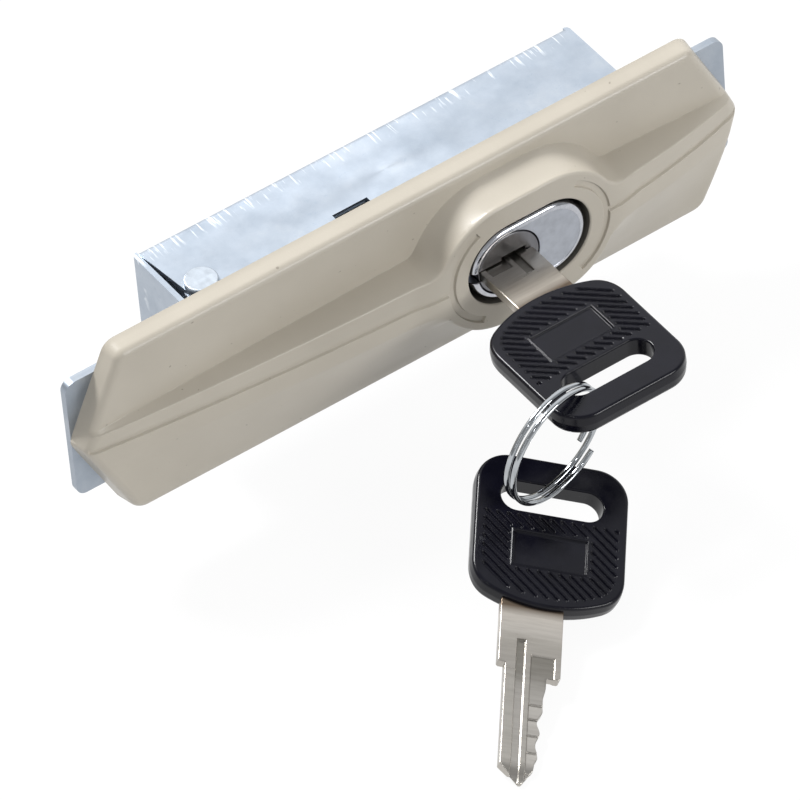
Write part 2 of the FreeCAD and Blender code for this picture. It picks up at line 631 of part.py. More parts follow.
def make_plug():
    front = -FACE_DEPTH + PLUG_SINK
    plug = rod(PLUG_R, (PLUG_X, front, 0), PLUG_REAR - front, Y_AXIS)
    spigot = rod(SPIGOT_R, (PLUG_X, PLUG_REAR - 0.1, 0), SPIGOT_LENGTH + 0.1, Y_AXIS)
    spigot = spigot.common(spigot_band(SPIGOT_FLAT))
    plug = plug.fuse(spigot)
    half_t = BLADE_HALF_T + KEY_SLOT_FIT
    half_w = BLADE_HALF_WIDTH + KEY_SLOT_FIT
    tip_y = HEAD_Y + KEY_TIP
    plug = plug.cut(box(PLUG_X - half_w, PLUG_X + half_w, front - 1, tip_y + 0.2, -half_t, half_t))
    lug = HEAD_X - SHANK_RIGHT - KEY_SLOT_FIT
    pocket_y = HEAD_Y + SHOULDER_RIGHT + KEY_SLOT_FIT
    plug = plug.cut(box(lug, PLUG_X, front - 1, pocket_y, -half_t, half_t))
    for wafer_y in wafer_places():
        plug = plug.cut(wafer_room(wafer_y))
    thread = rod(CAM_SCREW_R, (PLUG_X, tip_y + 0.5, 0), 10, Y_AXIS)
    return plug.cut(thread).removeSplitter()


def spigot_band(flat):
    """Band between the two flats of the plug's spigot."""
    return box(PLUG_X - PLUG_R, PLUG_X + PLUG_R, 0, CASE_REAR, -flat, flat)


def wafer_places():
    return [WAFER_FIRST_Y + i * WAFER_PITCH for i in range(WAFER_COUNT)]


def wafer_half_width():
    return math.sqrt((PLUG_R - 0.1) ** 2 - WAFER_HALF_HEIGHT ** 2)


def wafer_room(y):
    """Cross slot for one wafer, with the pocket for its lug and spring."""
    t = WAFER_T / 2 + WAFER_FIT
    room = box(PLUG_X - PLUG_R - 1, PLUG_X + PLUG_R + 1, y - t, y + t,
               -WAFER_HALF_HEIGHT - WAFER_FIT, WAFER_HALF_HEIGHT + WAFER_FIT)
    start = PLUG_X - SPRING_LENGTH / 2 - RUN_FIT
    end = start + SPRING_LENGTH + LUG_WIDTH + WAFER_SHIFT + 4 * RUN_FIT
    half = SPRING_R + RUN_FIT
    pocket = box(start, end, y - half, y + half, WAFER_HALF_HEIGHT, SPRING_Z + half)
    return room.fuse(pocket)


def make_wafer(y):
    """Flat wafer with a window for the blade and a lug that its spring pushes."""
    half = wafer_half_width()
    wafer = box(PLUG_X - half, PLUG_X + half, y - WAFER_T / 2, y + WAFER_T / 2,
                -WAFER_HALF_HEIGHT, WAFER_HALF_HEIGHT)
    lug_x = PLUG_X + SPRING_LENGTH / 2 + RUN_FIT
    wafer = wafer.fuse(box(lug_x, lug_x + LUG_WIDTH, y - WAFER_T / 2, y + WAFER_T / 2,
                           WAFER_HALF_HEIGHT - 0.2, SPRING_Z + SPRING_R))
    half_w = BLADE_HALF_WIDTH + WAFER_WINDOW_MARGIN
    half_t = BLADE_HALF_T + WAFER_WINDOW_MARGIN
    return wafer.cut(box(PLUG_X - half_w, PLUG_X + half_w, y - 1, y + 1, -half_t, half_t)).removeSplitter()


def make_wafer_springs():
    springs = []
    for y in wafer_places():
        start = (PLUG_X - SPRING_LENGTH / 2, y, SPRING_Z)
        tube = rod(SPRING_R, start, SPRING_LENGTH, V(1, 0, 0))
        springs.append(tube.cut(rod(SPRING_R - SPRING_WALL, start, SPRING_LENGTH, V(1, 0, 0))))
    return Part.makeCompound(springs)


def make_cam():
    """Round cam on the plug's flatted spigot, with a lobe that carries the crank pin."""
    cam = rod(CAM_R - 1.2, (PLUG_X, PLUG_REAR, 0), CAM_T, Y_AXIS)
    lobe = rod(CRANK_PIN_R + 1.1, (CRANK_X, PLUG_REAR, CRANK_Z), CAM_T, Y_AXIS)
    cam = cam.fuse(lobe).removeSplitter()
    hole = rod(SPIGOT_R + RUN_FIT, (PLUG_X, PLUG_REAR - 1, 0), CAM_T + 2, Y_AXIS)
    return cam.cut(hole.common(spigot_band(SPIGOT_FLAT + RUN_FIT)))


def make_crank_pin():
    start = PLUG_REAR + CAM_T
    return rod(CRANK_PIN_R, (CRANK_X, start, CRANK_Z), CRANK_PIN_END - start, Y_AXIS)


def make_cam_washer():
    washer = rod(CAM_WASHER_R, (PLUG_X, PLUG_REAR + CAM_T, 0), CAM_WASHER_T, Y_AXIS)
    return washer.cut(rod(CAM_SCREW_R + RUN_FIT, (PLUG_X, PLUG_REAR, 0), 10, Y_AXIS))


def make_cam_screw():
    under_head = PLUG_REAR + CAM_T + CAM_WASHER_T
    start = HEAD_Y + KEY_TIP + 0.7
    shank = rod(CAM_SCREW_R, (PLUG_X, start, 0), under_head - start + 0.1, Y_AXIS)
    head = rod(CAM_SCREW_HEAD_R, (PLUG_X, under_head, 0), CAM_SCREW_HEAD_T, Y_AXIS)
    slot = box(PLUG_X - 5, PLUG_X + 5, under_head + CAM_SCREW_HEAD_T - 0.5, under_head + 5, -0.35, 0.35)
    return head.cut(slot).fuse(shank).removeSplitter()


def make_bezel_screws():
    screws = []
    for x in BEZEL_SCREW_X:
        for z in (-BEZEL_SCREW_Z, BEZEL_SCREW_Z):
            shank = rod(BEZEL_SCREW_R, (x, PLATE_T - BEZEL_SCREW_LENGTH, z), BEZEL_SCREW_LENGTH, Y_AXIS)
            head = rod(BEZEL_SCREW_HEAD_R, (x, PLATE_T, z), BEZEL_SCREW_HEAD_T, Y_AXIS)
            screws.append(shank.fuse(head).removeSplitter())
    return Part.makeCompound(screws)


def key_head_outline(z):
    """Head outline before its corners are rounded: arch at the blade end, straight sides."""
    w, far = HEAD_HALF_WIDTH, -HEAD_LENGTH
    edges = [
        Part.Arc(V(-w, -HEAD_ARCH, z), V(0, 0, z), V(w, -HEAD_ARCH, z)).toShape(),
        Part.LineSegment(V(w, -HEAD_ARCH, z), V(w, far, z)).toShape(),
        Part.LineSegment(V(w, far, z), V(-w, far, z)).toShape(),
        Part.LineSegment(V(-w, far, z), V(-w, -HEAD_ARCH, z)).toShape(),
    ]
    return Part.Wire(edges)


def key_head_local():
    head = prism(key_head_outline(-HEAD_HALF_T), (0, 0, 2 * HEAD_HALF_T))
    for y, r in ((-HEAD_LENGTH, HEAD_CORNER_R), (-HEAD_ARCH, HEAD_SHOULDER_R)):
        upright = [e for e in head.Edges if e.BoundBox.ZLength > HEAD_HALF_T]
        head = head.makeFillet(r, [e for e in upright if abs(e.CenterOfMass.y - y) < 0.01])
    a = HEAD_SLOT_HALF - HEAD_SLOT_R
    z = HEAD_HALF_T + 1
    slot = box(-a, a, HEAD_SLOT_Y - HEAD_SLOT_R, HEAD_SLOT_Y + HEAD_SLOT_R, -z, z)
    slot = slot.fuse([rod(HEAD_SLOT_R, (x, HEAD_SLOT_Y, -z), 2 * z) for x in (-a, a)])
    head = head.cut(slot).removeSplitter()
    rims = [e for e in head.Edges if abs(abs(e.CenterOfMass.z) - HEAD_HALF_T) < 0.01]
    head = head.makeChamfer(HEAD_BEVEL, rims)
    pocket = box(SHANK_LEFT, SHANK_RIGHT, -BLADE_SINK, 5, -BLADE_HALF_T, BLADE_HALF_T)
    return head.cut(pocket)


def key_blade_local():
    """Milled blade with a shank, shoulders, scalloped cuts and a pointed tip."""
    centre = (BLADE_LEFT + BLADE_RIGHT) / 2
    outline = polygon([
        (SHANK_LEFT, -BLADE_SINK, -BLADE_HALF_T),
        (SHANK_RIGHT, -BLADE_SINK, -BLADE_HALF_T),
        (SHANK_RIGHT, SHOULDER_RIGHT, -BLADE_HALF_T),
        (BLADE_RIGHT, SHOULDER_RIGHT, -BLADE_HALF_T),
        (BLADE_RIGHT, KEY_TIP - KEY_TIP_RUN, -BLADE_HALF_T),
        (centre + KEY_TIP_HALF, KEY_TIP, -BLADE_HALF_T),
        (centre - KEY_TIP_HALF, KEY_TIP, -BLADE_HALF_T),
        (BLADE_LEFT, KEY_TIP - KEY_TIP_RUN, -BLADE_HALF_T),
        (BLADE_LEFT, SHOULDER_LEFT, -BLADE_HALF_T),
        (SHANK_LEFT, SHOULDER_LEFT, -BLADE_HALF_T),
    ])
    blade = prism(outline, (0, 0, 2 * BLADE_HALF_T))
    z = BLADE_HALF_T + 1
    for i, depth in enumerate(BITTING_DEPTHS):
        y = BITTING_FIRST + i * BITTING_PITCH
        blade = blade.cut(rod(BITTING_R, (BLADE_RIGHT + BITTING_R - depth, y, -z), 2 * z))
    left = KEY_GROOVE_X - KEY_GROOVE_WIDTH / 2
    floor = BLADE_HALF_T - KEY_GROOVE_DEPTH
    for z0, z1 in ((-z, -floor), (floor, z)):
        blade = blade.cut(box(left, left + KEY_GROOVE_WIDTH, SHOULDER_LEFT - 4, KEY_TIP + 1, z0, z1))
    return blade.removeSplitter()


def placed(shape, origin, across, along):
    """Move a key piece so that its X lies along across and its Y along along."""
    along = V(*along).normalize()
    across = V(*across)
    across = (across - along * across.dot(along)).normalize()
    depth = across.cross(along)
    matrix = FreeCAD.Matrix(
        across.x, along.x, depth.x, origin[0],
        across.y, along.y, depth.y, origin[1],
        across.z, along.z, depth.z, origin[2],
        0, 0, 0, 1)
    moved = shape.copy()
    moved.Placement = FreeCAD.Placement(matrix)
    return moved


def in_lock(shape):
    return placed(shape, (HEAD_X, HEAD_Y, 0), (-1, 0, 0), (0, 1, 0))


def spare(shape):
    return placed(shape, SPARE_ORIGIN, SPARE_ACROSS, SPARE_ALONG)


def make_key_ring():
    """Two-turn split ring, one unbroken wire with its ends side by side."""
    turns = 2
    helix = Part.makeHelix(RING_PITCH, RING_PITCH * turns, RING_R)
    start = helix.Edges[0].valueAt(helix.Edges[0].FirstParameter)
    tangent = helix.Edges[0].tangentAt(helix.Edges[0].FirstParameter)
    circle = Part.Wire(Part.makeCircle(RING_WIRE_R, start, tangent))
    ring = Part.Wire(helix).makePipeShell([circle], True, True)
    ring.translate(V(0, 0, -RING_PITCH * turns / 2))
    turn = FreeCAD.Rotation(Z_AXIS, V(*RING_NORMAL))
    ring.Placement = FreeCAD.Placement(RING_CENTRE, turn).multiply(ring.Placement)
    print("ring turns lie", round(RING_PITCH - 2 * RING_WIRE_R, 2), "mm apart")
    return ring


def build():
    head = key_head_local()
    blade = key_blade_local()
    parts = {
        "bezel": make_bezel(),
        "mounting_plate": make_mounting_plate(),
        "bezel_screws": make_bezel_screws(),
        "case_shell": make_case_shell(),
        "hook_pivot_rivet": make_rivet(),
        "pivot_spacer": make_pivot_spacer(),
        "pivot_washer": make_pivot_washer(),
        "pivot_sleeve": make_pivot_sleeve(),
        "hook_bolt": make_hook(),
        "slide_bar": make_slide_bar(),
        "slide_pin": make_slide_pin(),
        "guide_studs": make_guide_studs(),
        "lock_housing": make_housing(),
        "housing_clip": make_housing_clip(),
        "plug": make_plug(),
        "wafer_springs": make_wafer_springs(),
        "cam": make_cam(),
        "crank_pin": make_crank_pin(),
        "cam_washer": make_cam_washer(),
        "cam_screw": make_cam_screw(),
        "key_blade": in_lock(blade),
        "key_head": in_lock(head),
        "key_ring": make_key_ring(),
        "spare_key_blade": spare(blade),
        "spare_key_head": spare(head),
    }
    for i, y in enumerate(wafer_places(), start=1):
        parts["wafer_%d" % i] = make_wafer(y)
    return parts


os.makedirs("parts", exist_ok=True)
for name, shape in build().items():
    print(name, "solids", len(shape.Solids), "volume", round(shape.Volume, 1), "valid", shape.isValid())
    shape.exportStep("parts/" + name + ".step")
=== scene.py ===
import math

import bpy
import numpy as np
from mathutils import Matrix, Vector
from mathutils.geometry import delaunay_2d_cdt


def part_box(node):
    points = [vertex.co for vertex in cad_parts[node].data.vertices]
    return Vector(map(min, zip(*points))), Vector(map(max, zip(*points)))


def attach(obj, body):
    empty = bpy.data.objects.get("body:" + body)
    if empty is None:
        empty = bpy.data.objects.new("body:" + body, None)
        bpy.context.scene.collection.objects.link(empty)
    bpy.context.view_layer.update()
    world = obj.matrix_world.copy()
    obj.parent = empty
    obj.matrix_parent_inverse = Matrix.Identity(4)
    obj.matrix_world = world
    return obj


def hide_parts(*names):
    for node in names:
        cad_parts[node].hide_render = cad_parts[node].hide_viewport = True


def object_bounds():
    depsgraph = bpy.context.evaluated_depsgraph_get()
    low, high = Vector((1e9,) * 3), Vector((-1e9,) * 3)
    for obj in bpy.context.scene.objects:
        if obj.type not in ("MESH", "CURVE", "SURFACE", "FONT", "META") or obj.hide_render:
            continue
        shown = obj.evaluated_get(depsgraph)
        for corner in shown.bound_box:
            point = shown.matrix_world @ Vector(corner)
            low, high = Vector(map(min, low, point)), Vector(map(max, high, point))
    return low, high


# Cabinet lock with a moulded bezel, a zinc-plated case, a chromed lock face,
# a key in the lock and a spare key on a split ring. Lengths here are in millimetres.

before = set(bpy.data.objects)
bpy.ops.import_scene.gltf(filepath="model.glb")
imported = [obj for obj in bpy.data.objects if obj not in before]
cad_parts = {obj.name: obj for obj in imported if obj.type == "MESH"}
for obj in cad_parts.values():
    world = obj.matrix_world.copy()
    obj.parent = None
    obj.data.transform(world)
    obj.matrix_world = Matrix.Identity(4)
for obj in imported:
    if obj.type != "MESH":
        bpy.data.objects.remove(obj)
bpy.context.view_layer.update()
MM = 0.001


def cad_box(node):
    """Lowest and highest corner of a CAD node, in millimetres."""
    low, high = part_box(node)
    return np.array(low) / MM, np.array(high) / MM


# Sizes

# Bezel
BEZEL_LOW, BEZEL_HIGH = cad_box("bezel")
BEZEL_HALF_LENGTH = BEZEL_HIGH[0]
BEZEL_TOP = BEZEL_HIGH[2]
BEZEL_BOTTOM = -BEZEL_LOW[2]
COLLAR_FRONT = -BEZEL_LOW[1]
CHEVRON_RUN = 9.2
RIM_DEPTH = 4.0
DRAFT = 0.185
WALL = 2.0
HOLLOW_ROUND = 1.0
TOP_CORNER_R = 3.0
BOTTOM_CORNER_R = 4.0
APEX_SOFTNESS = 0.8
RIM_ROUND = 1.3
RIDGE_TOP = 5.1
RIDGE_BOTTOM = 4.2
BOW_LEFT = ((-70.0, 4.3), (-29.5, 8.7), (18.0, 11.0))
BOW_RIGHT = ((18.0, 11.0), (50.5, 9.1), (70.0, 4.3))
CROWN_X = 18.0
BELT_RUN = 0.6
BELT_ROUND = 0.35
COLLAR_RISE = (6.0, -1.0)  # outside the collar, where the belt's crest comes up to its front
CREASE_SOFTNESS = 0.32
FLARE_REACH = (4.0, 1.0)
GROOVE_HALF = 0.64
GROOVE_DEPTH = 0.5
LONG_WALL = (0.05, 0.0, -0.05, -0.1, -0.15, -0.2, -0.25)
COLLAR_X = 19.15
COLLAR_HALF = 19.0
COLLAR_R = 13.8
COLLAR_BEND = COLLAR_HALF - COLLAR_R
COLLAR_RUN = 1.5
COLLAR_ROUND = 0.65
COLLAR_BLEND = 2.8
FOOT_BLEND = 2.4
FOOT_TOP = -3
FOOT_HEIGHT = 4
FOOT_REACH = (-1.0, 1.5)
OPENING_HALF = 13.0
OPENING_R = 8.7
OPENING_ROUND = 0.35
SLEEVE_WALL = 1.8
ARC_GROOVE_R = 11.3
ARC_GROOVE_HALF = 0.68
ARC_GROOVE_DEPTH = 0.5
ARC_GROOVE_ANGLE = math.radians(63)
ARC_WALL = (0.06, 0.03, 0.0, -0.03, -0.06, -0.09, -0.12)

# Lock face and plug
FACE_HALF = 12.2
FACE_R = 7.9
FACE_DEPTH = 11.0
FACE_ROUND = 1.2
CHROME_RIM = 1.35
RIM_STEP = 0.12
BARREL_R = 7.6
BARREL_FLAT = 7.0
BARREL_REAR = 14.0
CLIP_GROOVE_R = 6.9
CLIP_GROOVE_FRONT, CLIP_GROOVE_REAR = 1.5, 2.6
CHANNEL_R = 6.78
CHANNEL_HALF = 4.1
CHANNEL_FRONT, CHANNEL_REAR = 8.6, 7.4
PLUG_X = 14.85
PLUG_R = 6.37
PLUG_BORE_R = 6.58
BORE_ROUND, PLUG_ROUND, KEYWAY_ROUND = 0.15, 0.3, 0.1
PLUG_SINK = 0.1
PLUG_REAR = 14.2
SPIGOT_R = 2.8
SPIGOT_FLAT = 2.1
SPIGOT_REAR = 15.5
NOTCH_HALF = 1.1
NOTCH_RUN = 1.2
KEYWAY_HALF = 3.82
KEYWAY_HALF_T = 1.17
KEYWAY_LUG = (11.4, 2.8)
KEYWAY_RAISED = (15.9, 1.0, 2.5, 0.9)
KEYWAY_REAR = 12.5
KEYWAY_STEP = 2.0
WAFER_COUNT = 5
WAFER_FIRST = -5.8
WAFER_PITCH = 3.2
WAFER_SLOT_HALF = 3.98
WAFER_SLOT_HALF_T = 0.58
POCKET = (-2.0, 3.35)
POCKET_TOP = 5.65
POCKET_HALF_T = 0.83

# Keys, in their own frame: first axis across the head, second from the head to the tip
HEAD_HALF_WIDTH = 13.6
HEAD_LENGTH = 30.0
HEAD_ARCH_R = 23.66
HEAD_HALF_T = 2.0
HEAD_BEVEL = 0.6
HEAD_CORNER_R = 6.0
HEAD_SHOULDER_R = 2.0
HEAD_SLOT_Y = -21.8
HEAD_SLOT_HALF = 9.1
HEAD_SLOT_R = 2.95
HEAD_SLOT_LIP = 0.35
HEAD_DRAFT = 0.12
SEAM_HALF = 0.08
RIB_ANGLE = math.radians(43)
RIB_PITCH = 1.3
RIB_HALF = 0.36
RIB_DEPTH = 0.5
RIB_MARGIN = 1.7
RIB_LOW = -18.0
FRAME_CENTRE = -11.3
FRAME_HALF = (6.5, 3.4)
FRAME_CLEAR = 1.0
FRAME_DEPTH = 0.3
SHANK_LEFT, SHANK_RIGHT = -7.8, 3.2
BLADE_LEFT, BLADE_RIGHT = -6.6, 0.8
BLADE_HALF_T = 1.05
BLADE_START = -6.0
SHOULDER_LEFT, SHOULDER_RIGHT = 11.4, 13.4
SHOULDER_R = 0.45
KEY_TIP = 34.7
KEY_TIP_HALF = 0.6
KEY_TIP_RUN = 3.4
KEY_GROOVE = (-3.92, 0.76, 0.5)
KEY_GROOVE_START = 6.4
MILLED_LEFT, MILLED_START, MILLED_DEPTH = -2.1, 9.3, 0.22
MILLED_RIGHT = 2.1
BITTING = (
    (15.0, 0.0), (17.9, 0.42), (19.8, 0.3), (22.2, 1.2), (24.3, 0.66), (26.8, 1.3), (29.1, 0.8), (30.8, 1.35),
    (31.8, 1.45))
STEPS = (18.8, 21.7, 24.9, 28.3, 32.4)
STEP_DEPTH, STEP_FADE = 0.36, 1.5
TIP_THINNING = 0.55
BLADE_EDGE_ROUND = 0.14

LOCK_KEY = {"origin": (11.95, -22.4, 0.0), "across": (-1, 0, 0), "along": (0, 1, 0)}
SPARE_KEY = {
    "origin": (-16.36, -62.52, -25.84),
    "across": (0.7804, -0.5505, -0.2964),
    "along": (-0.6147, -0.7624, -0.2024),
}
RING_CENTRE = np.array((-1.36, -46.22, -6.79))
RING_NORMAL = np.array((0.207, -0.971, -0.119))
RING_R = 11.35
RING_PITCH = 1.45
RING_WIRE = (0.44, 0.5)
RING_START = math.radians(-30)

# Camera and floor, in metres and degrees
CAMERA_PLACE = Vector((-0.611678, -0.995295, 1.123191))
CAMERA_AIM = Vector((-0.010686, -0.012368, -0.016779))
CAMERA_ROLL = math.radians(-5.082)
CAMERA_LENS = 419.885
FLOOR_HALF = 3.0
FLOOR_GLOW = 0.93

# Meshing
NORMAL_STEP = 0.02
WELD = 0.0005
LEAST_AREA = 1e-7


# Smooth helpers

def smooth_step(low, high, value):
    t = np.clip((value - low) / (high - low), 0, 1)
    return t * t * (3 - 2 * t)


def smooth_min(a, b, k):
    h = np.maximum(k - np.abs(a - b), 0) / k
    return np.minimum(a, b) - h * h * k / 4


def smooth_max(a, b, k):
    return -smooth_min(-a, -b, k)


def edge_round(distance, r):
    """How far a rounded edge falls below the flat, distance being measured in from the edge."""
    t = np.clip(r - distance, 0, r)
    return r - np.sqrt(r * r - t * t)


def circle_through(p, q, s):
    """Centre and radius of the circle through three points."""
    (ax, ay), (bx, by), (cx, cy) = p, q, s
    d = 2 * (ax * (by - cy) + bx * (cy - ay) + cx * (ay - by))
    a2, b2, c2 = ax * ax + ay * ay, bx * bx + by * by, cx * cx + cy * cy
    x = (a2 * (by - cy) + b2 * (cy - ay) + c2 * (ay - by)) / d
    y = (a2 * (cx - bx) + b2 * (ax - cx) + c2 * (bx - ax)) / d
    return x, y, math.hypot(ax - x, ay - y)


def stadium_inside(x, z, centre, half, r):
    """Distance inside a stadium that lies along x, negative outside."""
    dx = np.maximum(np.abs(x - centre) - (half - r), 0)
    return r - np.hypot(dx, z)


def box_outside(u, v, centre_u, centre_v, half_u, half_v):
    return np.maximum(np.abs(u - centre_u) - half_u, np.abs(v - centre_v) - half_v)


# Meshing of reliefs

def contour(inside, centre, level=0.0, step=0.8, tol=0.006, rays=7200, reach=80.0):
    """Closed line where a star-shaped distance field has the given level, closer in the bends."""
    angle = np.linspace(0, 2 * math.pi, rays, endpoint=False)
    near, far = np.zeros(rays), np.full(rays, reach)
    for _ in range(40):
        mid = (near + far) / 2
        is_in = inside(centre[0] + mid * np.cos(angle), centre[1] + mid * np.sin(angle)) > level
        near, far = np.where(is_in, mid, near), np.where(is_in, far, mid)
    line = np.stack([centre[0] + near * np.cos(angle), centre[1] + near * np.sin(angle)], 1)
    return resample(line, step, tol)


def contours(inside, centre, levels, step=0.8, tol=0.006):
    return [contour(inside, centre, level, step, tol) for level in levels]


def contours_round(outside, centre, levels, step=0.8, tol=0.006):
    """Lines round an opening, at distances outside it."""
    return contours(lambda u, v: -outside(u, v), centre, [-level for level in levels], step, tol)


def resample(line, step, tol, closed=True):
    """The same line with fewer points: step apart on straights and closer where it bends."""
    ahead = np.roll(line, -1, 0) - line
    length = np.maximum(np.hypot(*ahead.T), 1e-9)
    heading = np.unwrap(np.arctan2(ahead[:, 1], ahead[:, 0]))
    bend = np.abs(heading - np.roll(heading, 1))
    bend = np.minimum(bend, np.abs(2 * math.pi - bend))
    if not closed:
        bend[0] = 0
        length[-1] = 1e-9
    curvature = bend / np.maximum((length + np.roll(length, 1)) / 2, 1e-6)
    kernel = np.ones(5) / 5
    curvature = np.convolve(np.concatenate([curvature[-2:], curvature, curvature[:2]]), kernel, "valid")
    weight = np.maximum(1 / step, np.sqrt(curvature / (8 * tol))) * length
    total = np.concatenate([[0], np.cumsum(weight)])
    count = max(int(math.ceil(total[-1])), 8)
    marks = np.linspace(0, total[-1], count + 1)
    full = np.vstack([line, line[:1]])
    points = np.stack([np.interp(marks, total, full[:, i]) for i in (0, 1)], 1)
    return points[:-1]


def refined_points(height, box, coarse, fine, tol):
    """Corners of square cells that are split where the surface bends more than tol inside them."""
    u = np.arange(box[0], box[1] + coarse, coarse)
    v = np.arange(box[2], box[3] + coarse, coarse)
    cells = np.stack(np.meshgrid(u, v), -1).reshape(-1, 2)
    grid = np.linspace(0, 1, 5)
    gu, gv = np.meshgrid(grid, grid)
    size, found = coarse, []
    while len(cells):
        h = height(cells[:, 0, None, None] + gu * size, cells[:, 1, None, None] + gv * size)
        a, b, c, d = h[:, :1, :1], h[:, :1, -1:], h[:, -1:, :1], h[:, -1:, -1:]
        flat = a * (1 - gu) * (1 - gv) + b * gu * (1 - gv) + c * (1 - gu) * gv + d * gu * gv
        split = np.abs(h - flat).max((1, 2)) > tol
        if size <= fine * 1.01:
            split[:] = False
        kept = cells[~split]
        found += [kept + (du, dv) for dv in (0, size) for du in (0, size)]
        size /= 2
        cells = np.concatenate([cells[split] + (du, dv) for du in (0, size) for dv in (0, size)])
    return np.unique(np.round(np.concatenate(found) / (fine / 8)).astype(int), axis=0) * (fine / 8)


def triangulate(loops, bands, points, inside):
    """Flat triangles over the region where inside is positive, keeping loops and bands as edges."""
    segments, used = [], 0
    for line, closed in [(l, True) for l in loops] + [(b, False) for b in bands]:
        count = len(line)
        segments += [(used + i, used + (i + 1) % count) for i in range(count if closed else count - 1)]
        used += count
    flat = [Vector(p) for p in np.concatenate([*loops, *bands, points])]
    verts, _, faces, *_ = delaunay_2d_cdt(flat, segments, [], 0, 1e-5)
    verts = np.array([tuple(p) for p in verts])
    faces = np.array([tuple(f) for f in faces if len(f) == 3])
    faces = faces[inside(*verts[faces].mean(1).T) > 0]
    a, b, c = (verts[faces[:, i]] for i in range(3))
    area = (b - a)[:, 0] * (c - a)[:, 1] - (b - a)[:, 1] * (c - a)[:, 0]
    whole = np.abs(area) > LEAST_AREA
    faces, area = faces[whole], area[whole]
    faces[area < 0] = faces[area < 0][:, ::-1]
    return verts, faces


def raised(*pairs):
    """Points of flat loops, each given with its level, one loop after the other."""
    return np.concatenate([
        np.column_stack([loop, np.broadcast_to(level, len(loop))]) for loop, level in pairs])


def arc_points(cx, cy, r, start, end, count=7):
    angle = np.radians(np.linspace(start, end, count))
    return [(cx + r * math.cos(a), cy + r * math.sin(a)) for a in angle]


def polygon_inside(loop, u, v):
    """Distance inside any closed loop, negative outside."""
    u, v = np.asarray(u, float), np.asarray(v, float)
    best = np.full(u.shape, 1e9)
    crossed = np.zeros(u.shape, bool)
    for (ax, ay), (bx, by) in zip(loop, np.roll(loop, -1, 0)):
        dx, dy = bx - ax, by - ay
        t = np.clip(((u - ax) * dx + (v - ay) * dy) / max(dx * dx + dy * dy, 1e-12), 0, 1)
        best = np.minimum(best, np.hypot(u - ax - t * dx, v - ay - t * dy))
        if ay != by:
            crossed ^= ((ay > v) != (by > v)) & (u < (bx - ax) * (v - ay) / (by - ay) + ax)
    return np.where(crossed, best, -best)


def region(outers, holes):
    """Distance inside any of the outer loops and outside all the holes."""
    def inside(u, v):
        depth = np.full(np.shape(u), -1e3)
        for loop in outers:
            depth = np.maximum(depth, polygon_inside(loop, u, v))
        for loop in holes:
            depth = np.minimum(depth, -polygon_inside(loop, u, v))
        return depth
    return inside


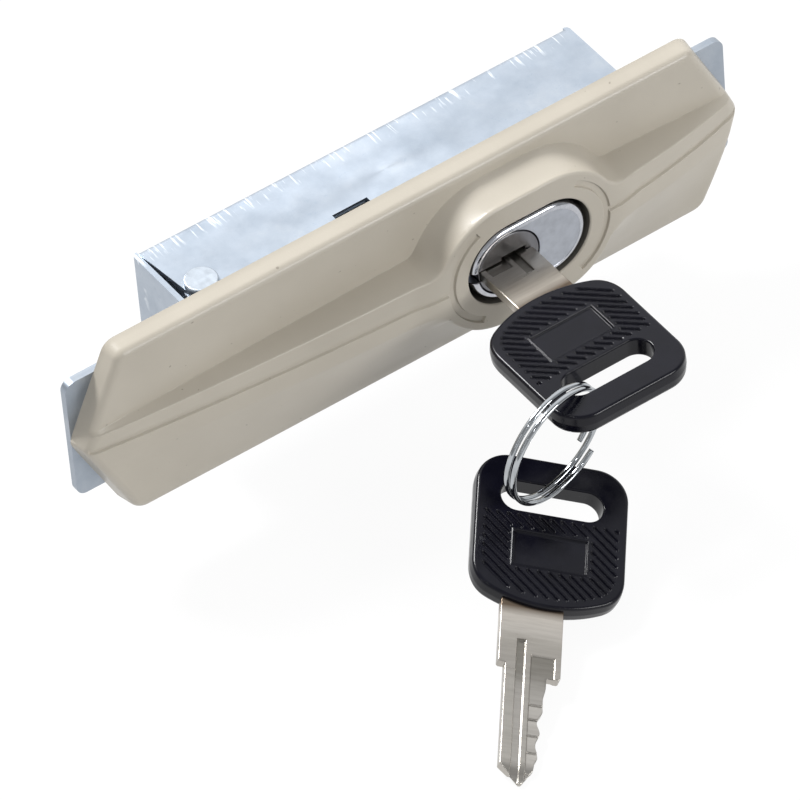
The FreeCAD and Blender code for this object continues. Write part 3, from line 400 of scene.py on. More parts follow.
class Shell:
    """Collects patches of one piece, in millimetres, and makes one welded mesh of them."""

    def __init__(self, u=(1, 0, 0), v=(0, 0, 1), h=(0, -1, 0), origin=(0, 0, 0)):
        self.axes = np.array([u, v, h], float)
        self.origin = np.array(origin, float)
        self.points, self.normals, self.faces, self.marks, self.own = [], [], [], [], []
        self.count = 0

    def add(self, points, normals, faces, mark=0):
        """Points and normals in the shell's own u, v, h axes; faces are turned to face along the normals."""
        points, faces = np.asarray(points, float), np.array(faces)
        self.own.append(points)
        points = points @ self.axes + self.origin
        normals = np.asarray(normals, float) @ self.axes
        a, b, c = (points[faces[:, i]] for i in range(3))
        facing = np.einsum("ij,ij->i", np.cross(b - a, c - a), normals[faces].mean(1))
        faces[facing < 0] = faces[facing < 0][:, ::-1]
        self.points.append(points)
        self.normals.append(normals)
        self.faces.append(faces + self.count)
        self.marks.append(np.broadcast_to(mark, len(faces)))
        self.count += len(points)

    def relief(
            self, height, loops, bands, inside, box, coarse, fine, tol, keep,
            side=1, facing=1, mark=None, clear=None):
        """Surface h = height(u, v), facing +h, or -h with facing -1, or mirrored with side -1.

        Points are left out where clear is below 0, so that lines of the mesh alone follow an edge there.
        """
        seeds = refined_points(height, box, coarse, fine, tol)
        seeds = seeds[inside(*seeds.T) > keep]
        if clear is not None:
            seeds = seeds[clear(*seeds.T) > 0]
        verts, faces = triangulate(loops, bands, seeds, inside)
        u, v = verts.T
        e = NORMAL_STEP
        hu = (height(u + e, v) - height(u - e, v)) / (2 * e)
        hv = (height(u, v + e) - height(u, v - e)) / (2 * e)
        normals = np.stack([-hu, -hv, np.ones_like(u)], 1) * facing
        normals /= np.linalg.norm(normals, axis=1)[:, None]
        normals[:, 2] *= side
        marks = 0 if mark is None else mark(*verts[faces].mean(1).T)
        self.add(raised((verts, side * height(u, v))), normals, faces, marks)

    def strip(self, points, normal, mark=0):
        """Closed strip between two loops of the same count, given one after the other."""
        n = len(normal)
        i = np.arange(n)
        j = (i + 1) % n
        faces = np.concatenate([np.stack([i, j, j + n], 1), np.stack([i, j + n, i + n], 1)])
        normal = normal / np.maximum(np.linalg.norm(normal, axis=1), 1e-9)[:, None]
        self.add(points, np.concatenate([normal, normal]), faces, mark)

    def wall(self, loop, low, high, outward=1, mark=0):
        """Upright strip along a closed loop, from height low to height high."""
        ahead = np.roll(loop, -1, 0) - np.roll(loop, 1, 0)
        spin = np.sign(np.sum(loop[:, 0] * np.roll(loop[:, 1], -1) - np.roll(loop[:, 0], -1) * loop[:, 1]))
        normal = np.stack([ahead[:, 1], -ahead[:, 0], np.zeros(len(loop))], 1) * spin * outward
        self.strip(raised((loop, low), (loop, high)), normal, mark)

    def skirt(self, loop_a, level_a, loop_b, level_b):
        """Strip between two loops of the same count at two levels, facing outwards."""
        points, n = raised((loop_a, level_a), (loop_b, level_b)), len(loop_a)
        along = np.roll(points[:n], -1, 0) - np.roll(points[:n], 1, 0)
        normal = np.cross(along, points[n:] - points[:n])
        normal[np.sum(normal[:, :2] * (loop_a - loop_a.mean(0)), 1) < 0] *= -1
        self.strip(points, normal)

    def flat(self, loops, level, inside, facing=1):
        """Flat patch between loops."""
        verts, faces = triangulate(loops, [], np.zeros((0, 2)), inside)
        if len(faces):
            self.add(raised((verts, level)), np.tile((0, 0, facing), (len(verts), 1)), faces)

    def stack(self, slabs, top):
        """Slabs from the rear, each (low level, outer loops, holes, mark), up to heights top(u, v)."""
        below = (), ()
        for i, (low, outers, holes, mark) in enumerate(slabs):
            for loops, outward, own_mark in ((outers, 1, mark), (holes, -1, 0)):
                for loop in loops:
                    high = slabs[i + 1][0] if i + 1 < len(slabs) else top(*loop.T)
                    self.wall(loop, low, high, outward, own_mark)
            loops = [*below[0], *below[1], *outers, *holes]
            here, there = region(outers, holes), region(*below)
            self.flat(loops, low, lambda u, v: np.minimum(here(u, v), -there(u, v)), -1)
            self.flat(loops, low, lambda u, v: np.minimum(there(u, v), -here(u, v)))
            below = outers, holes

    def build(self, name, body, slot, materials, node):
        """Welded mesh with the given materials by mark, shown in place of a CAD node."""
        points, normals = np.concatenate(self.points), np.concatenate(self.normals)
        faces, marks = np.concatenate(self.faces), np.concatenate(self.marks).astype(int)
        keys = np.round(points / WELD).astype(np.int64)
        _, first, index = np.unique(keys, axis=0, return_index=True, return_inverse=True)
        welded = index.reshape(-1)[faces]
        whole = (welded != np.roll(welded, 1, 1)).all(1)
        welded, faces, marks = welded[whole], faces[whole], marks[whole]
        mesh = bpy.data.meshes.new(name)
        mesh.from_pydata((points[first] * MM).tolist(), [], welded.tolist())
        mesh.polygons.foreach_set("use_smooth", np.ones(len(welded), bool))
        for material in materials:
            mesh.materials.append(MATERIALS[material])
        mesh.polygons.foreach_set("material_index", marks)
        own = mesh.attributes.new("own", "FLOAT_VECTOR", "POINT")
        own.data.foreach_set("vector", (np.concatenate(self.own)[first] * MM).ravel())
        mesh.normals_split_custom_set(normals[faces].reshape(-1, 3).tolist())
        obj = placed(name, mesh)
        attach(obj, body)
        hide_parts(node)


def placed(name, data):
    """New object in the scene."""
    obj = bpy.data.objects.new(name, data)
    bpy.context.scene.collection.objects.link(obj)
    return obj


# Materials

def linear(colour):
    """Screen colour from 0 to 255 as linear light."""
    return tuple(((c / 255 + 0.055) / 1.055) ** 2.4 if c > 10 else c / 255 / 12.92 for c in colour) + (1,)


class Nodes:
    """A node tree with short calls for the nodes used here."""

    def __init__(self, owner, empty=True):
        owner.use_nodes = True
        self.tree = owner.node_tree
        if empty:
            self.tree.nodes.clear()

    def put(self, socket, value):
        """Link a socket or a node's first output, or set a plain value."""
        if isinstance(value, bpy.types.Node):
            value = value.outputs[0]
        if isinstance(value, bpy.types.NodeSocket):
            self.tree.links.new(value, socket)
        else:
            socket.default_value = value

    def node(self, kind, *values, **settings):
        """New node; values go to its inputs in turn, settings to the inputs or properties they name."""
        made = self.tree.nodes.new("ShaderNode" + kind)
        for socket, value in zip(made.inputs, values):
            self.put(socket, value)
        for key, value in settings.items():
            if key in made.inputs:
                self.put(made.inputs[key], value)
            else:
                setattr(made, key, value)
        return made

    def ramp(self, value, *stops):
        """Ramp, each stop a place from 0 to 1 and a grey level, a screen colour or four linear numbers."""
        made = self.node("ValToRGB", value)
        elements = made.color_ramp.elements
        while len(elements) < len(stops):
            elements.new(0.5)
        for element, (place, colour) in zip(elements, stops):
            if not np.ndim(colour):
                colour = (colour, colour, colour, 1)
            element.position = place
            element.color = linear(colour) if len(colour) == 3 else colour
        return made.outputs["Color"]

    def mix(self, factor, a, b, mode="MIX"):
        made = self.node("Mix", data_type="RGBA", blend_type=mode)
        for i, value in ((0, factor), (6, a), (7, b)):
            self.put(made.inputs[i], value)
        return made.outputs[2]


class Paint(Nodes):
    """A material on the Principled shader."""

    def __init__(self, name, **values):
        self.material = bpy.data.materials.new(name)
        super().__init__(self.material, empty=False)
        self.shader = self.tree.nodes["Principled BSDF"]
        self.place = self.node("TexCoord").outputs["Object"]
        self.set(**values)

    def set(self, **values):
        for key, value in values.items():
            self.put(self.shader.inputs[key.replace("_", " ")], value)

    def noise(self, scale, detail=3.0, rough=0.5, where=None):
        """Noise in object coordinates or at where, scaled alike or per axis, in repeats per metre."""
        scale = tuple(float(g) for g in np.broadcast_to(scale, 3))
        spread = self.node("Mapping", self.place if where is None else where, Scale=scale)
        return self.node("TexNoise", spread, Scale=1.0, Detail=detail, Roughness=rough).outputs["Fac"]

    def along(self, vector, low, high):
        """0 to 1 between two places on a vector's second axis."""
        return self.node("MapRange", self.node("SeparateXYZ", vector).outputs["Y"], low, high).outputs[0]

    def bump(self, height, strength, distance=0.0001):
        made = self.node("Bump", Strength=strength, Distance=distance, Height=height)
        last = self.shader.inputs["Normal"]
        if last.is_linked:
            self.put(made.inputs["Normal"], last.links[0].from_socket)
        self.put(last, made)


# The factor darkens every colour of the plastic; below 1 it is painted shade.
def beige_plastic(name, painted_shade=1.0):
    p = Paint(name, Roughness=0.28, Specular_IOR_Level=0.45, Coat_Weight=0.1, Coat_Roughness=0.1)
    low, high = ([c * painted_shade for c in colour] for colour in ((180, 173, 160), (187, 180, 167)))
    tone = p.ramp(p.noise(60, 4), (0.3, low), (0.7, high))
    dirt = p.ramp(p.noise(900, 1), (0.775, 0.0), (0.8, 0.55))
    wear = p.noise((40, 160, 160), 5)
    p.set(
        Base_Color=p.mix(dirt, tone, linear((120, 112, 100))),
        Roughness=p.ramp(wear, (0.35, 0.34), (0.7, 0.42)))
    p.bump(p.noise(2600, 2), 0.05, 0.0002)
    return p.material


def zinc_steel(name, painted_shade=1.0):
    """Blue zinc plating: faint cloudy spangle, dull smudges, pale strokes where the sheet was drawn; a factor
    below 1 darkens the spangle tones as painted shade.
    """
    p = Paint(name, Metallic=1.0, Specular_IOR_Level=0.5, Anisotropic=0.2)
    tones = ((0.3, (168, 178, 190)), (0.55, (181, 190, 201)), (0.75, (193, 200, 208)))
    blue = p.ramp(p.noise(130, 6, 0.65), *((place, [c * painted_shade for c in tone]) for place, tone in tones))
    smudge = p.ramp(p.noise((330, 420, 420), 8, 0.75), (0.6, 0.0), (0.7, 0.6))
    dull = p.mix(smudge, blue, linear((150, 165, 181)))
    strokes = p.ramp(p.noise((1700, 100, 100), 4, 0.65), (0.57, 0.0), (0.61, 0.85))
    band = p.ramp(p.along(p.place, 0.0150, 0.0205), (0.2, 0.0), (0.62, 1.0), (0.978, 1.0), (0.985, 0.2))
    rear = p.mix(1.0, band, strokes, "MULTIPLY")
    rough = p.ramp(p.noise(240, 5), (0.3, 0.36), (0.7, 0.44))
    p.set(
        Base_Color=p.mix(rear, dull, linear((240, 244, 248))),
        Roughness=p.mix(smudge, rough, (0.6, 0.6, 0.6, 1)))
    p.bump(p.noise((220, 2500, 220), 3), 0.04)
    p.bump(p.noise(700, 4), 0.1)
    return p.material


def nickel_brass(name, *tones):
    """Nickel-plated blade brushed across its length, its tones in turn from the head to the tip; these tones
    are painted light: painted contact shadow, painted reflection and painted shade along the blade.
    """
    p = Paint(name, Metallic=1.0, Specular_IOR_Level=0.5)
    own = p.node("Attribute", attribute_name="own").outputs["Vector"]
    # Painted light along the blade: darker and lighter tones by distance from the head.
    tone = p.ramp(p.along(own, 0.0, 0.035), *tones)
    streak = p.noise((110, 1400, 110), 6, 0.65, own)
    worn = p.ramp(streak, (0.3, (205, 203, 200)), (0.6, (255, 255, 255)))
    p.set(Base_Color=p.mix(0.4, tone, worn, "MULTIPLY"), Roughness=p.ramp(streak, (0.3, 0.27), (0.7, 0.33)))
    p.bump(streak, 0.008)
    return p.material


def bright_metal(name, colour, roughness, grain=300, scratch=0.1, spread=0.08):
    """Plain plated metal with a fine grain, alike or per axis."""
    p = Paint(name, Metallic=1.0, Specular_IOR_Level=0.5)
    cloud = p.noise(grain, 4)
    p.set(
        Base_Color=p.ramp(cloud, (0.3, [c * 0.93 for c in colour]), (0.65, colour)),
        Roughness=p.ramp(cloud, (0.3, roughness), (0.7, roughness + spread)))
    p.bump(p.noise(6 * np.array(grain), 3), scratch)
    return p.material


def black_plastic(name):
    p = Paint(name, Roughness=0.2, Specular_IOR_Level=0.27)
    p.set(
        Base_Color=p.ramp(p.noise(220), (0.3, (9, 9, 18)), (0.7, (14, 14, 24))),
        Roughness=p.ramp(p.noise(500, 4), (0.35, 0.16), (0.7, 0.26)))
    p.bump(p.noise(1500, 3, 0.6), 0.08)
    return p.material


MATERIALS = {name: make(name, *look) for name, make, *look in (
    ("moulded_beige", beige_plastic),
    # Darker copy of the moulded plastic for the opening's inner wall: painted shade in the deep gap round the
    # lock face.
    ("moulded_bore", beige_plastic, 0.55),
    ("zinc_steel", zinc_steel),
    # The same zinc plating made darker for the mounting plate: painted shade.
    ("zinc_plate", zinc_steel, 0.92),
    ("screw_steel", bright_metal, (188, 196, 205), 0.36, 700, 0.12),
    ("hook_steel", bright_metal, (158, 162, 168), 0.36, (120, 120, 400)),
    ("chromed_zinc", bright_metal, (172, 176, 184), 0.34, 700, 0.12),
    ("chrome_rim", bright_metal, (190, 192, 198), 0.12, 900, 0.08),
    ("plug_satin", bright_metal, (118, 118, 121), 0.28, (900, 200, 120)),
    # Shank and blade, by share of 35 mm from the head: painted contact shadow at the head, a painted bright
    # reflection just past it, painted shade at about 7 to 11 mm where the lock key meets the plug face, then
    # even tones to the tip.
    ("nickel_brass", nickel_brass, (0.0, (120, 106, 92)), (0.05, (214, 207, 198)), (0.12, (208, 202, 194)),
     (0.2, (184, 179, 171)), (0.3, (180, 175, 168)), (0.42, (186, 182, 175)), (0.95, (190, 186, 179))),
    # Milled faces: painted shade up to about 13 mm from the head, where the lock key meets the plug face,
    # lighter from about 17 mm.
    ("nickel_milled", nickel_brass, (0.17, (142, 138, 130)), (0.36, (150, 146, 139)), (0.48, (184, 180, 174)),
     (0.9, (188, 184, 178))),
    ("wafer_brass", bright_metal, (190, 160, 96), 0.3),
    ("spring_steel", bright_metal, (170, 174, 180), 0.25),
    ("ring_steel", bright_metal, (186, 190, 194), 0.05, 400, 0.04, 0.06),
    ("black_plastic", black_plastic),
)}


# Building the bezel

def bow_depth(x):
    """Depth of the belt's crest, two arcs that meet at the crown."""
    sides = []
    for three in (BOW_LEFT, BOW_RIGHT):
        cx, cy, r = circle_through(*three)
        sides.append(cy + np.sqrt(np.maximum(r * r - (x - cx) ** 2, 0)))
    return np.where(x < CROWN_X, sides[0], sides[1])


def belt_top(x):
    """Height of the belt's upper edge, which comes down a little towards both ends."""
    left = np.maximum((CROWN_X - x) / 88.0, 0) ** 1.2
    right = np.maximum((x - CROWN_X) / 60.0, 0) ** 1.6
    return RIDGE_TOP - 2.0 * (left + right)


def bezel_inside(x, z):
    """Distance inside the bezel's six-sided outline, with rounded corners."""
    low = z < 0
    edge = np.where(low, BEZEL_BOTTOM, BEZEL_TOP)
    r = np.where(low, BOTTOM_CORNER_R, TOP_CORNER_R)
    length = np.hypot(edge, CHEVRON_RUN)
    ax, az = np.abs(x), np.abs(z)
    soft = np.sqrt(z * z + APEX_SOFTNESS**2)
    flat = edge - az
    side = ((BEZEL_HALF_LENGTH - ax) * edge - soft * CHEVRON_RUN) / length
    cz = edge - r
    cx = BEZEL_HALF_LENGTH - (r * length + cz * CHEVRON_RUN) / edge
    beyond = (ax > cx) & ((cx - ax) * CHEVRON_RUN + (az - cz) * edge > 0)
    return np.where(beyond, r - np.hypot(ax - cx, az - cz), np.minimum(flat, side))


def drafted_edge(top, inside, r):
    """A surface at height top whose border falls away down a drafted wall, rounded with radius r."""
    c = 1 / math.hypot(1, DRAFT)
    m = DRAFT * c
    a = top - r
    b = r - inside * c
    root = (a - m * b) ** 2 - (1 + m * m) * (a * a + b * b - r * r)
    arc = (a - m * b + np.sqrt(np.maximum(root, 0))) / (1 + m * m)
    wall = np.maximum(inside, 0) / DRAFT
    reached = r - (inside - DRAFT * top) * c <= 0
    return np.where(wall < a, wall, np.where(reached, top, arc))


def collar_flank(disc):
    """Collar's own height by distance outside its edge: rounded rim, then a concave foot."""
    share = 1 - np.clip(disc / COLLAR_RUN, 0, 1) ** 0.4
    foot = RIM_DEPTH + (COLLAR_FRONT - COLLAR_ROUND - RIM_DEPTH) * share
    return np.where(disc < 0, COLLAR_FRONT - edge_round(-disc, COLLAR_ROUND), foot)


def collar_outside(x, z):
    return -stadium_inside(x, z, COLLAR_X, COLLAR_HALF, COLLAR_R)


def upper_flank(x, z):
    """Distance past the upper edge of belt and collar, and how far the flank runs and rounds there."""
    disc = collar_outside(x, z)
    belt = z - belt_top(x)
    near_collar = smooth_step(-2.5, 2.5, belt - disc)
    run = BELT_RUN + (COLLAR_RUN - BELT_RUN) * near_collar
    return smooth_min(belt, disc, COLLAR_BLEND), run, near_collar


def flank_line(share, off=0.0):
    """Line over the whole length at one share of the upper flank's run."""
    x = np.arange(-67.0, 67.01, 0.05)
    low, high = belt_top(x) - 1.5, np.full_like(x, BEZEL_TOP + 3)
    for _ in range(24):
        z = (low + high) / 2
        out, run, _ = upper_flank(x, z)
        past = out > share * run + off
        low, high = np.where(past, low, z), np.where(past, z, high)
    return resample(np.stack([x, z], 1), 0.8, 0.01, closed=False)


def bezel_surface(x, z):
    """Depth of the bezel's face before its border, its grooves and the opening."""
    disc = collar_outside(x, z)
    bow = bow_depth(x)
    crest = bow + (COLLAR_FRONT - bow) * smooth_step(*COLLAR_RISE, disc)
    out, run, near_collar = upper_flank(x, z)
    rounding = BELT_ROUND + (COLLAR_ROUND - BELT_ROUND) * near_collar
    share = 1 - np.clip(out / run, 0, 1) ** (1.0 - 0.35 * near_collar)
    flank = RIM_DEPTH + (crest - rounding - RIM_DEPTH) * share
    upper = np.where(out < 0, crest - edge_round(-out, rounding), flank)
    below = -RIDGE_BOTTOM - z
    flare = smooth_step(*FLARE_REACH, below)
    low = smooth_max(below + flare * (smooth_min(below, disc, COLLAR_BLEND) - below), 0.0, CREASE_SOFTNESS)
    face = crest - (crest - RIM_DEPTH) * low / (BEZEL_BOTTOM - RIDGE_BOTTOM)
    k = 0.001 + FOOT_BLEND * np.clip(-(z - FOOT_TOP) / FOOT_HEIGHT, 0, 1) * smooth_step(*FOOT_REACH, disc)
    return np.where(z > 0, upper, smooth_max(face, collar_flank(disc), k))


def bezel_grooves(x, z, inside):
    """Depth cut into the face by the long groove and the collar's two arcs."""
    disc = collar_outside(x, z)
    line = smooth_step(GROOVE_HALF + LONG_WALL[0], GROOVE_HALF + LONG_WALL[-1], np.abs(z))
    cut = GROOVE_DEPTH * line * smooth_step(-2.5, -2.2, disc) * smooth_step(0.9, 1.3, inside)
    for side in (-1, 1):
        dx = (x - COLLAR_X - side * COLLAR_BEND) * side
        off = np.abs(np.hypot(dx, z) - ARC_GROOVE_R)
        ends = (ARC_GROOVE_ANGLE - np.abs(np.arctan2(z, dx))) * ARC_GROOVE_R
        depth = smooth_step(ARC_GROOVE_HALF + 0.06, ARC_GROOVE_HALF - 0.12, off)
        cut = np.maximum(cut, ARC_GROOVE_DEPTH * (depth * smooth_step(-0.06, 0.12, ends)))
    return cut


def opening_outside(x, z, wall=0.0):
    return -stadium_inside(x, z, COLLAR_X, OPENING_HALF + wall, OPENING_R + wall)


def sleeve_outside(x, z):
    return opening_outside(x, z, SLEEVE_WALL)


def bezel_height(x, z):
    inside = bezel_inside(x, z)
    height = drafted_edge(bezel_surface(x, z), inside, RIM_ROUND)
    return height - bezel_grooves(x, z, inside) - edge_round(opening_outside(x, z), OPENING_ROUND)


def hollow_height(x, z):
    return drafted_edge(bezel_surface(x, z) - WALL, bezel_inside(x, z) - WALL, HOLLOW_ROUND)


def long_line(x0, x1, z, step=0.8):
    x = np.linspace(x0, x1, int((x1 - x0) / step))
    return np.stack([x, np.full_like(x, z)], 1)


def flank_bands():
    """Lines along the belt's edges, the long groove and the collar's rim, kept as mesh edges."""
    left, right = COLLAR_X - COLLAR_HALF, COLLAR_X + COLLAR_HALF
    bands = [flank_line(0.0, off) for off in (-0.65, -0.35, -0.2, -0.1, -0.03)]
    bands += [flank_line(share) for share in (0.0, 0.04, 0.15, 0.35, 0.7, 1.0)]
    for x0, x1 in ((-68.2, left + 1.6), (right - 1.6, 68.2)):
        for wall in LONG_WALL:
            bands += [long_line(x0, x1, z) for z in (-GROOVE_HALF - wall, GROOVE_HALF + wall)]
    for x0, x1 in ((-65.5, left - 3.5), (right + 3.5, 65.5)):
        bands += [long_line(x0, x1, off - RIDGE_BOTTOM) for off in (-0.4, -0.2, 0.0, 0.2, 0.4)]
    offs = (-0.65, -0.5, -0.35, -0.2, -0.1, -0.03, 0.0, 0.03, 0.1, 0.25, 0.5, 0.9, COLLAR_RUN)
    return bands + [collar_band(off) for off in offs]


def collar_band(off):
    """Lower part of a line round the collar at a distance off outside its edge."""
    angle = np.radians(np.arange(232, 309, 2.0))
    side = np.where(np.cos(angle) > 0, 1, -1)
    r = COLLAR_R + off
    return np.stack([COLLAR_X + side * COLLAR_BEND + r * np.cos(angle), r * np.sin(angle)], 1)


def collar_arc(side, r, angle):
    return np.stack([COLLAR_X + side * (COLLAR_BEND + r * np.cos(angle)), r * np.sin(angle)], 1)


def arc_groove_bands():
    """Lines along and across the walls of the two arc grooves, kept as mesh edges."""
    inner, outer = ARC_GROOVE_R - ARC_GROOVE_HALF, ARC_GROOVE_R + ARC_GROOVE_HALF
    along = np.linspace(-ARC_GROOVE_ANGLE - 0.02, ARC_GROOVE_ANGLE + 0.02, 72)
    across = np.linspace(inner - 0.1, outer + 0.1, 10)
    bands = []
    for side in (-1, 1):
        for wall in ARC_WALL:
            bands += [collar_arc(side, r, along) for r in (inner - wall, outer + wall)]
        for wall in ARC_WALL:
            turn = ARC_GROOVE_ANGLE + wall / ARC_GROOVE_R
            bands += [collar_arc(side, across, end) for end in (-turn, turn)]
    return bands


def groove_clear(x, z):
    """Positive where the bezel is clear of the grooves' walls."""
    dx = np.maximum(np.abs(x - COLLAR_X) - COLLAR_BEND, 0)
    off = np.abs(np.hypot(dx, z) - ARC_GROOVE_R)
    end = np.abs(np.abs(np.arctan2(z, dx)) - ARC_GROOVE_ANGLE) * ARC_GROOVE_R
    near_wall = np.abs(off - ARC_GROOVE_HALF + 0.03) - 0.16
    near_end = np.maximum(end - 0.2, off - ARC_GROOVE_HALF - 0.1)
    near_long = np.maximum(np.abs(np.abs(z) - GROOVE_HALF + 0.1) - 0.24, np.abs(x) - 67.8)
    return np.minimum(np.minimum(near_wall, near_end), near_long)


def make_bezel():
    shell = Shell()
    outline, inner, *rings = contours(
        bezel_inside, (0.0, 0.0), (0.0, WALL, 0.25, 0.45, 0.54, 0.64, 0.76, 0.9, 1.06, 1.26, 1.5, 1.8))
    opening, *lips = contours_round(opening_outside, (COLLAR_X, 0.0), (0.0, 0.03, 0.1, 0.2, 0.35))
    sleeve, = contours_round(sleeve_outside, (COLLAR_X, 0.0), (0.0,))
    box = (-BEZEL_HALF_LENGTH, BEZEL_HALF_LENGTH, -BEZEL_BOTTOM, BEZEL_TOP)
    shell.relief(
        bezel_height, [outline, opening, *rings, *lips], flank_bands() + arc_groove_bands(),
        lambda x, z: np.minimum(bezel_inside(x, z), opening_outside(x, z)),
        box, 4.0, 0.125, 0.012, keep=0.4, clear=groove_clear)
    # The opening's inner wall takes the darker plastic (mark 1): painted shade.
    shell.wall(opening, 0.0, COLLAR_FRONT - OPENING_ROUND, outward=-1, mark=1)
    shell.flat(
        [outline, inner], 0.0, lambda x, z: np.minimum(bezel_inside(x, z), WALL - bezel_inside(x, z)), -1)
    shell.flat(
        [sleeve, opening], 0.0, lambda x, z: np.minimum(-sleeve_outside(x, z), opening_outside(x, z)), -1)
    shell.relief(
        hollow_height, [inner, sleeve], [],
        lambda x, z: np.minimum(bezel_inside(x, z) - WALL, sleeve_outside(x, z)),
        box, 4.0, 0.5, 0.06, keep=0.3, facing=-1)
    shell.wall(sleeve, 0.0, hollow_height(*sleeve.T))
    shell.build("bezel_moulding", "case", "moulded_beige", ["moulded_beige", "moulded_bore"], "bezel")


# Building the lock face and the plug

def face_outside_bore(x, z):
    """Distance outside the plug's bore and the small notch beside it."""
    bore = np.hypot(x - PLUG_X, z) - PLUG_BORE_R
    notch_x = PLUG_X - PLUG_BORE_R - NOTCH_RUN / 2
    notch = np.maximum(np.abs(x - notch_x) - NOTCH_RUN / 2 - 0.4, np.abs(z) - NOTCH_HALF)
    return np.minimum(bore, notch)


def face_inside(x, z):
    return stadium_inside(x, z, COLLAR_X, FACE_HALF, FACE_R)


def lock_face_height(x, z):
    inside = face_inside(x, z)
    step = RIM_STEP * smooth_step(CHROME_RIM - 0.1, CHROME_RIM + 0.15, inside)
    field = FACE_DEPTH - edge_round(inside, FACE_ROUND) - step
    return field - edge_round(face_outside_bore(x, z), BORE_ROUND)


def flatted(r, flat=None):
    """Circle round the plug's axis, cut by two flats where flat is given."""
    if flat is None:
        return np.array(arc_points(PLUG_X, 0, r, 0, 357, 120))
    a = math.degrees(math.asin(flat / r))
    return np.array(arc_points(PLUG_X, 0, r, -a, a, 40) + arc_points(PLUG_X, 0, r, 180 - a, 180 + a, 40))


def channel_loop():
    """Bore with the four shallow channels the wafers spring into."""
    angle = np.radians(np.arange(0, 360, 3.0))
    near_axis = CHANNEL_R * np.minimum(np.abs(np.sin(angle)), np.abs(np.cos(angle))) < CHANNEL_HALF
    r = np.where(near_axis, CHANNEL_R, PLUG_BORE_R)
    return np.stack([PLUG_X + r * np.cos(angle), r * np.sin(angle)], 1)


def make_lock_face():
    shell = Shell()
    levels = (0.0, 0.02, 0.08, 0.18, 0.32, 0.5, 0.7, 0.95, 1.15, 1.25, 1.3, CHROME_RIM, 1.42, 1.5)
    outline, *rings = contours(face_inside, (COLLAR_X, 0), levels, 0.5, 0.003)
    bore, *lips = contours_round(face_outside_bore, (PLUG_X, 0), (0.0, 0.03, 0.08, 0.15), 0.4, 0.003)
    shell.relief(
        lock_face_height, [outline, bore, *rings, *lips], [],
        lambda x, z: np.minimum(face_inside(x, z), face_outside_bore(x, z)),
        (COLLAR_X - FACE_HALF, COLLAR_X + FACE_HALF, -FACE_R, FACE_R), 1.0, 0.125, 0.006, keep=0.12,
        mark=lambda x, z: face_inside(x, z) < CHROME_RIM,
        clear=lambda x, z: np.minimum(face_inside(x, z) - 1.6, face_outside_bore(x, z) - 0.25))
    barrel, groove, plain = flatted(BARREL_R, BARREL_FLAT), flatted(CLIP_GROOVE_R), flatted(PLUG_BORE_R)
    channel = channel_loop()
    shell.stack([
        (-BARREL_REAR, [barrel], [plain], 0),
        (-CHANNEL_REAR, [barrel], [channel], 0),
        (-CLIP_GROOVE_REAR, [groove], [channel], 0),
        (-CLIP_GROOVE_FRONT, [barrel], [channel], 0),
        (0.0, [outline], [channel], 1),
        (CHANNEL_FRONT, [outline], [bore], 1),
    ], lock_face_height)
    shell.build("lock_face", "case", "chromed_zinc", ["chromed_zinc", "chrome_rim"], "lock_housing")


def keyway_outside(x, z):
    """Distance outside the keyway: the blade's slot with a wider step above it at the right."""
    slot = box_outside(x, z, PLUG_X, 0, KEYWAY_HALF, KEYWAY_HALF_T)
    lug = box_outside(x, z, KEYWAY_LUG[0], 0, KEYWAY_LUG[1], KEYWAY_HALF_T)
    return np.minimum(np.minimum(slot, lug), box_outside(x, z, *KEYWAY_RAISED))


def plug_inside(x, z):
    return PLUG_R - np.hypot(x - PLUG_X, z)


def plug_height(x, z):
    top = FACE_DEPTH - PLUG_SINK - edge_round(plug_inside(x, z), PLUG_ROUND)
    return top - edge_round(keyway_outside(x, z), KEYWAY_ROUND)


def rectangle(low_u, high_u, low_v, high_v):
    return np.array([(low_u, low_v), (high_u, low_v), (high_u, high_v), (low_u, high_v)])


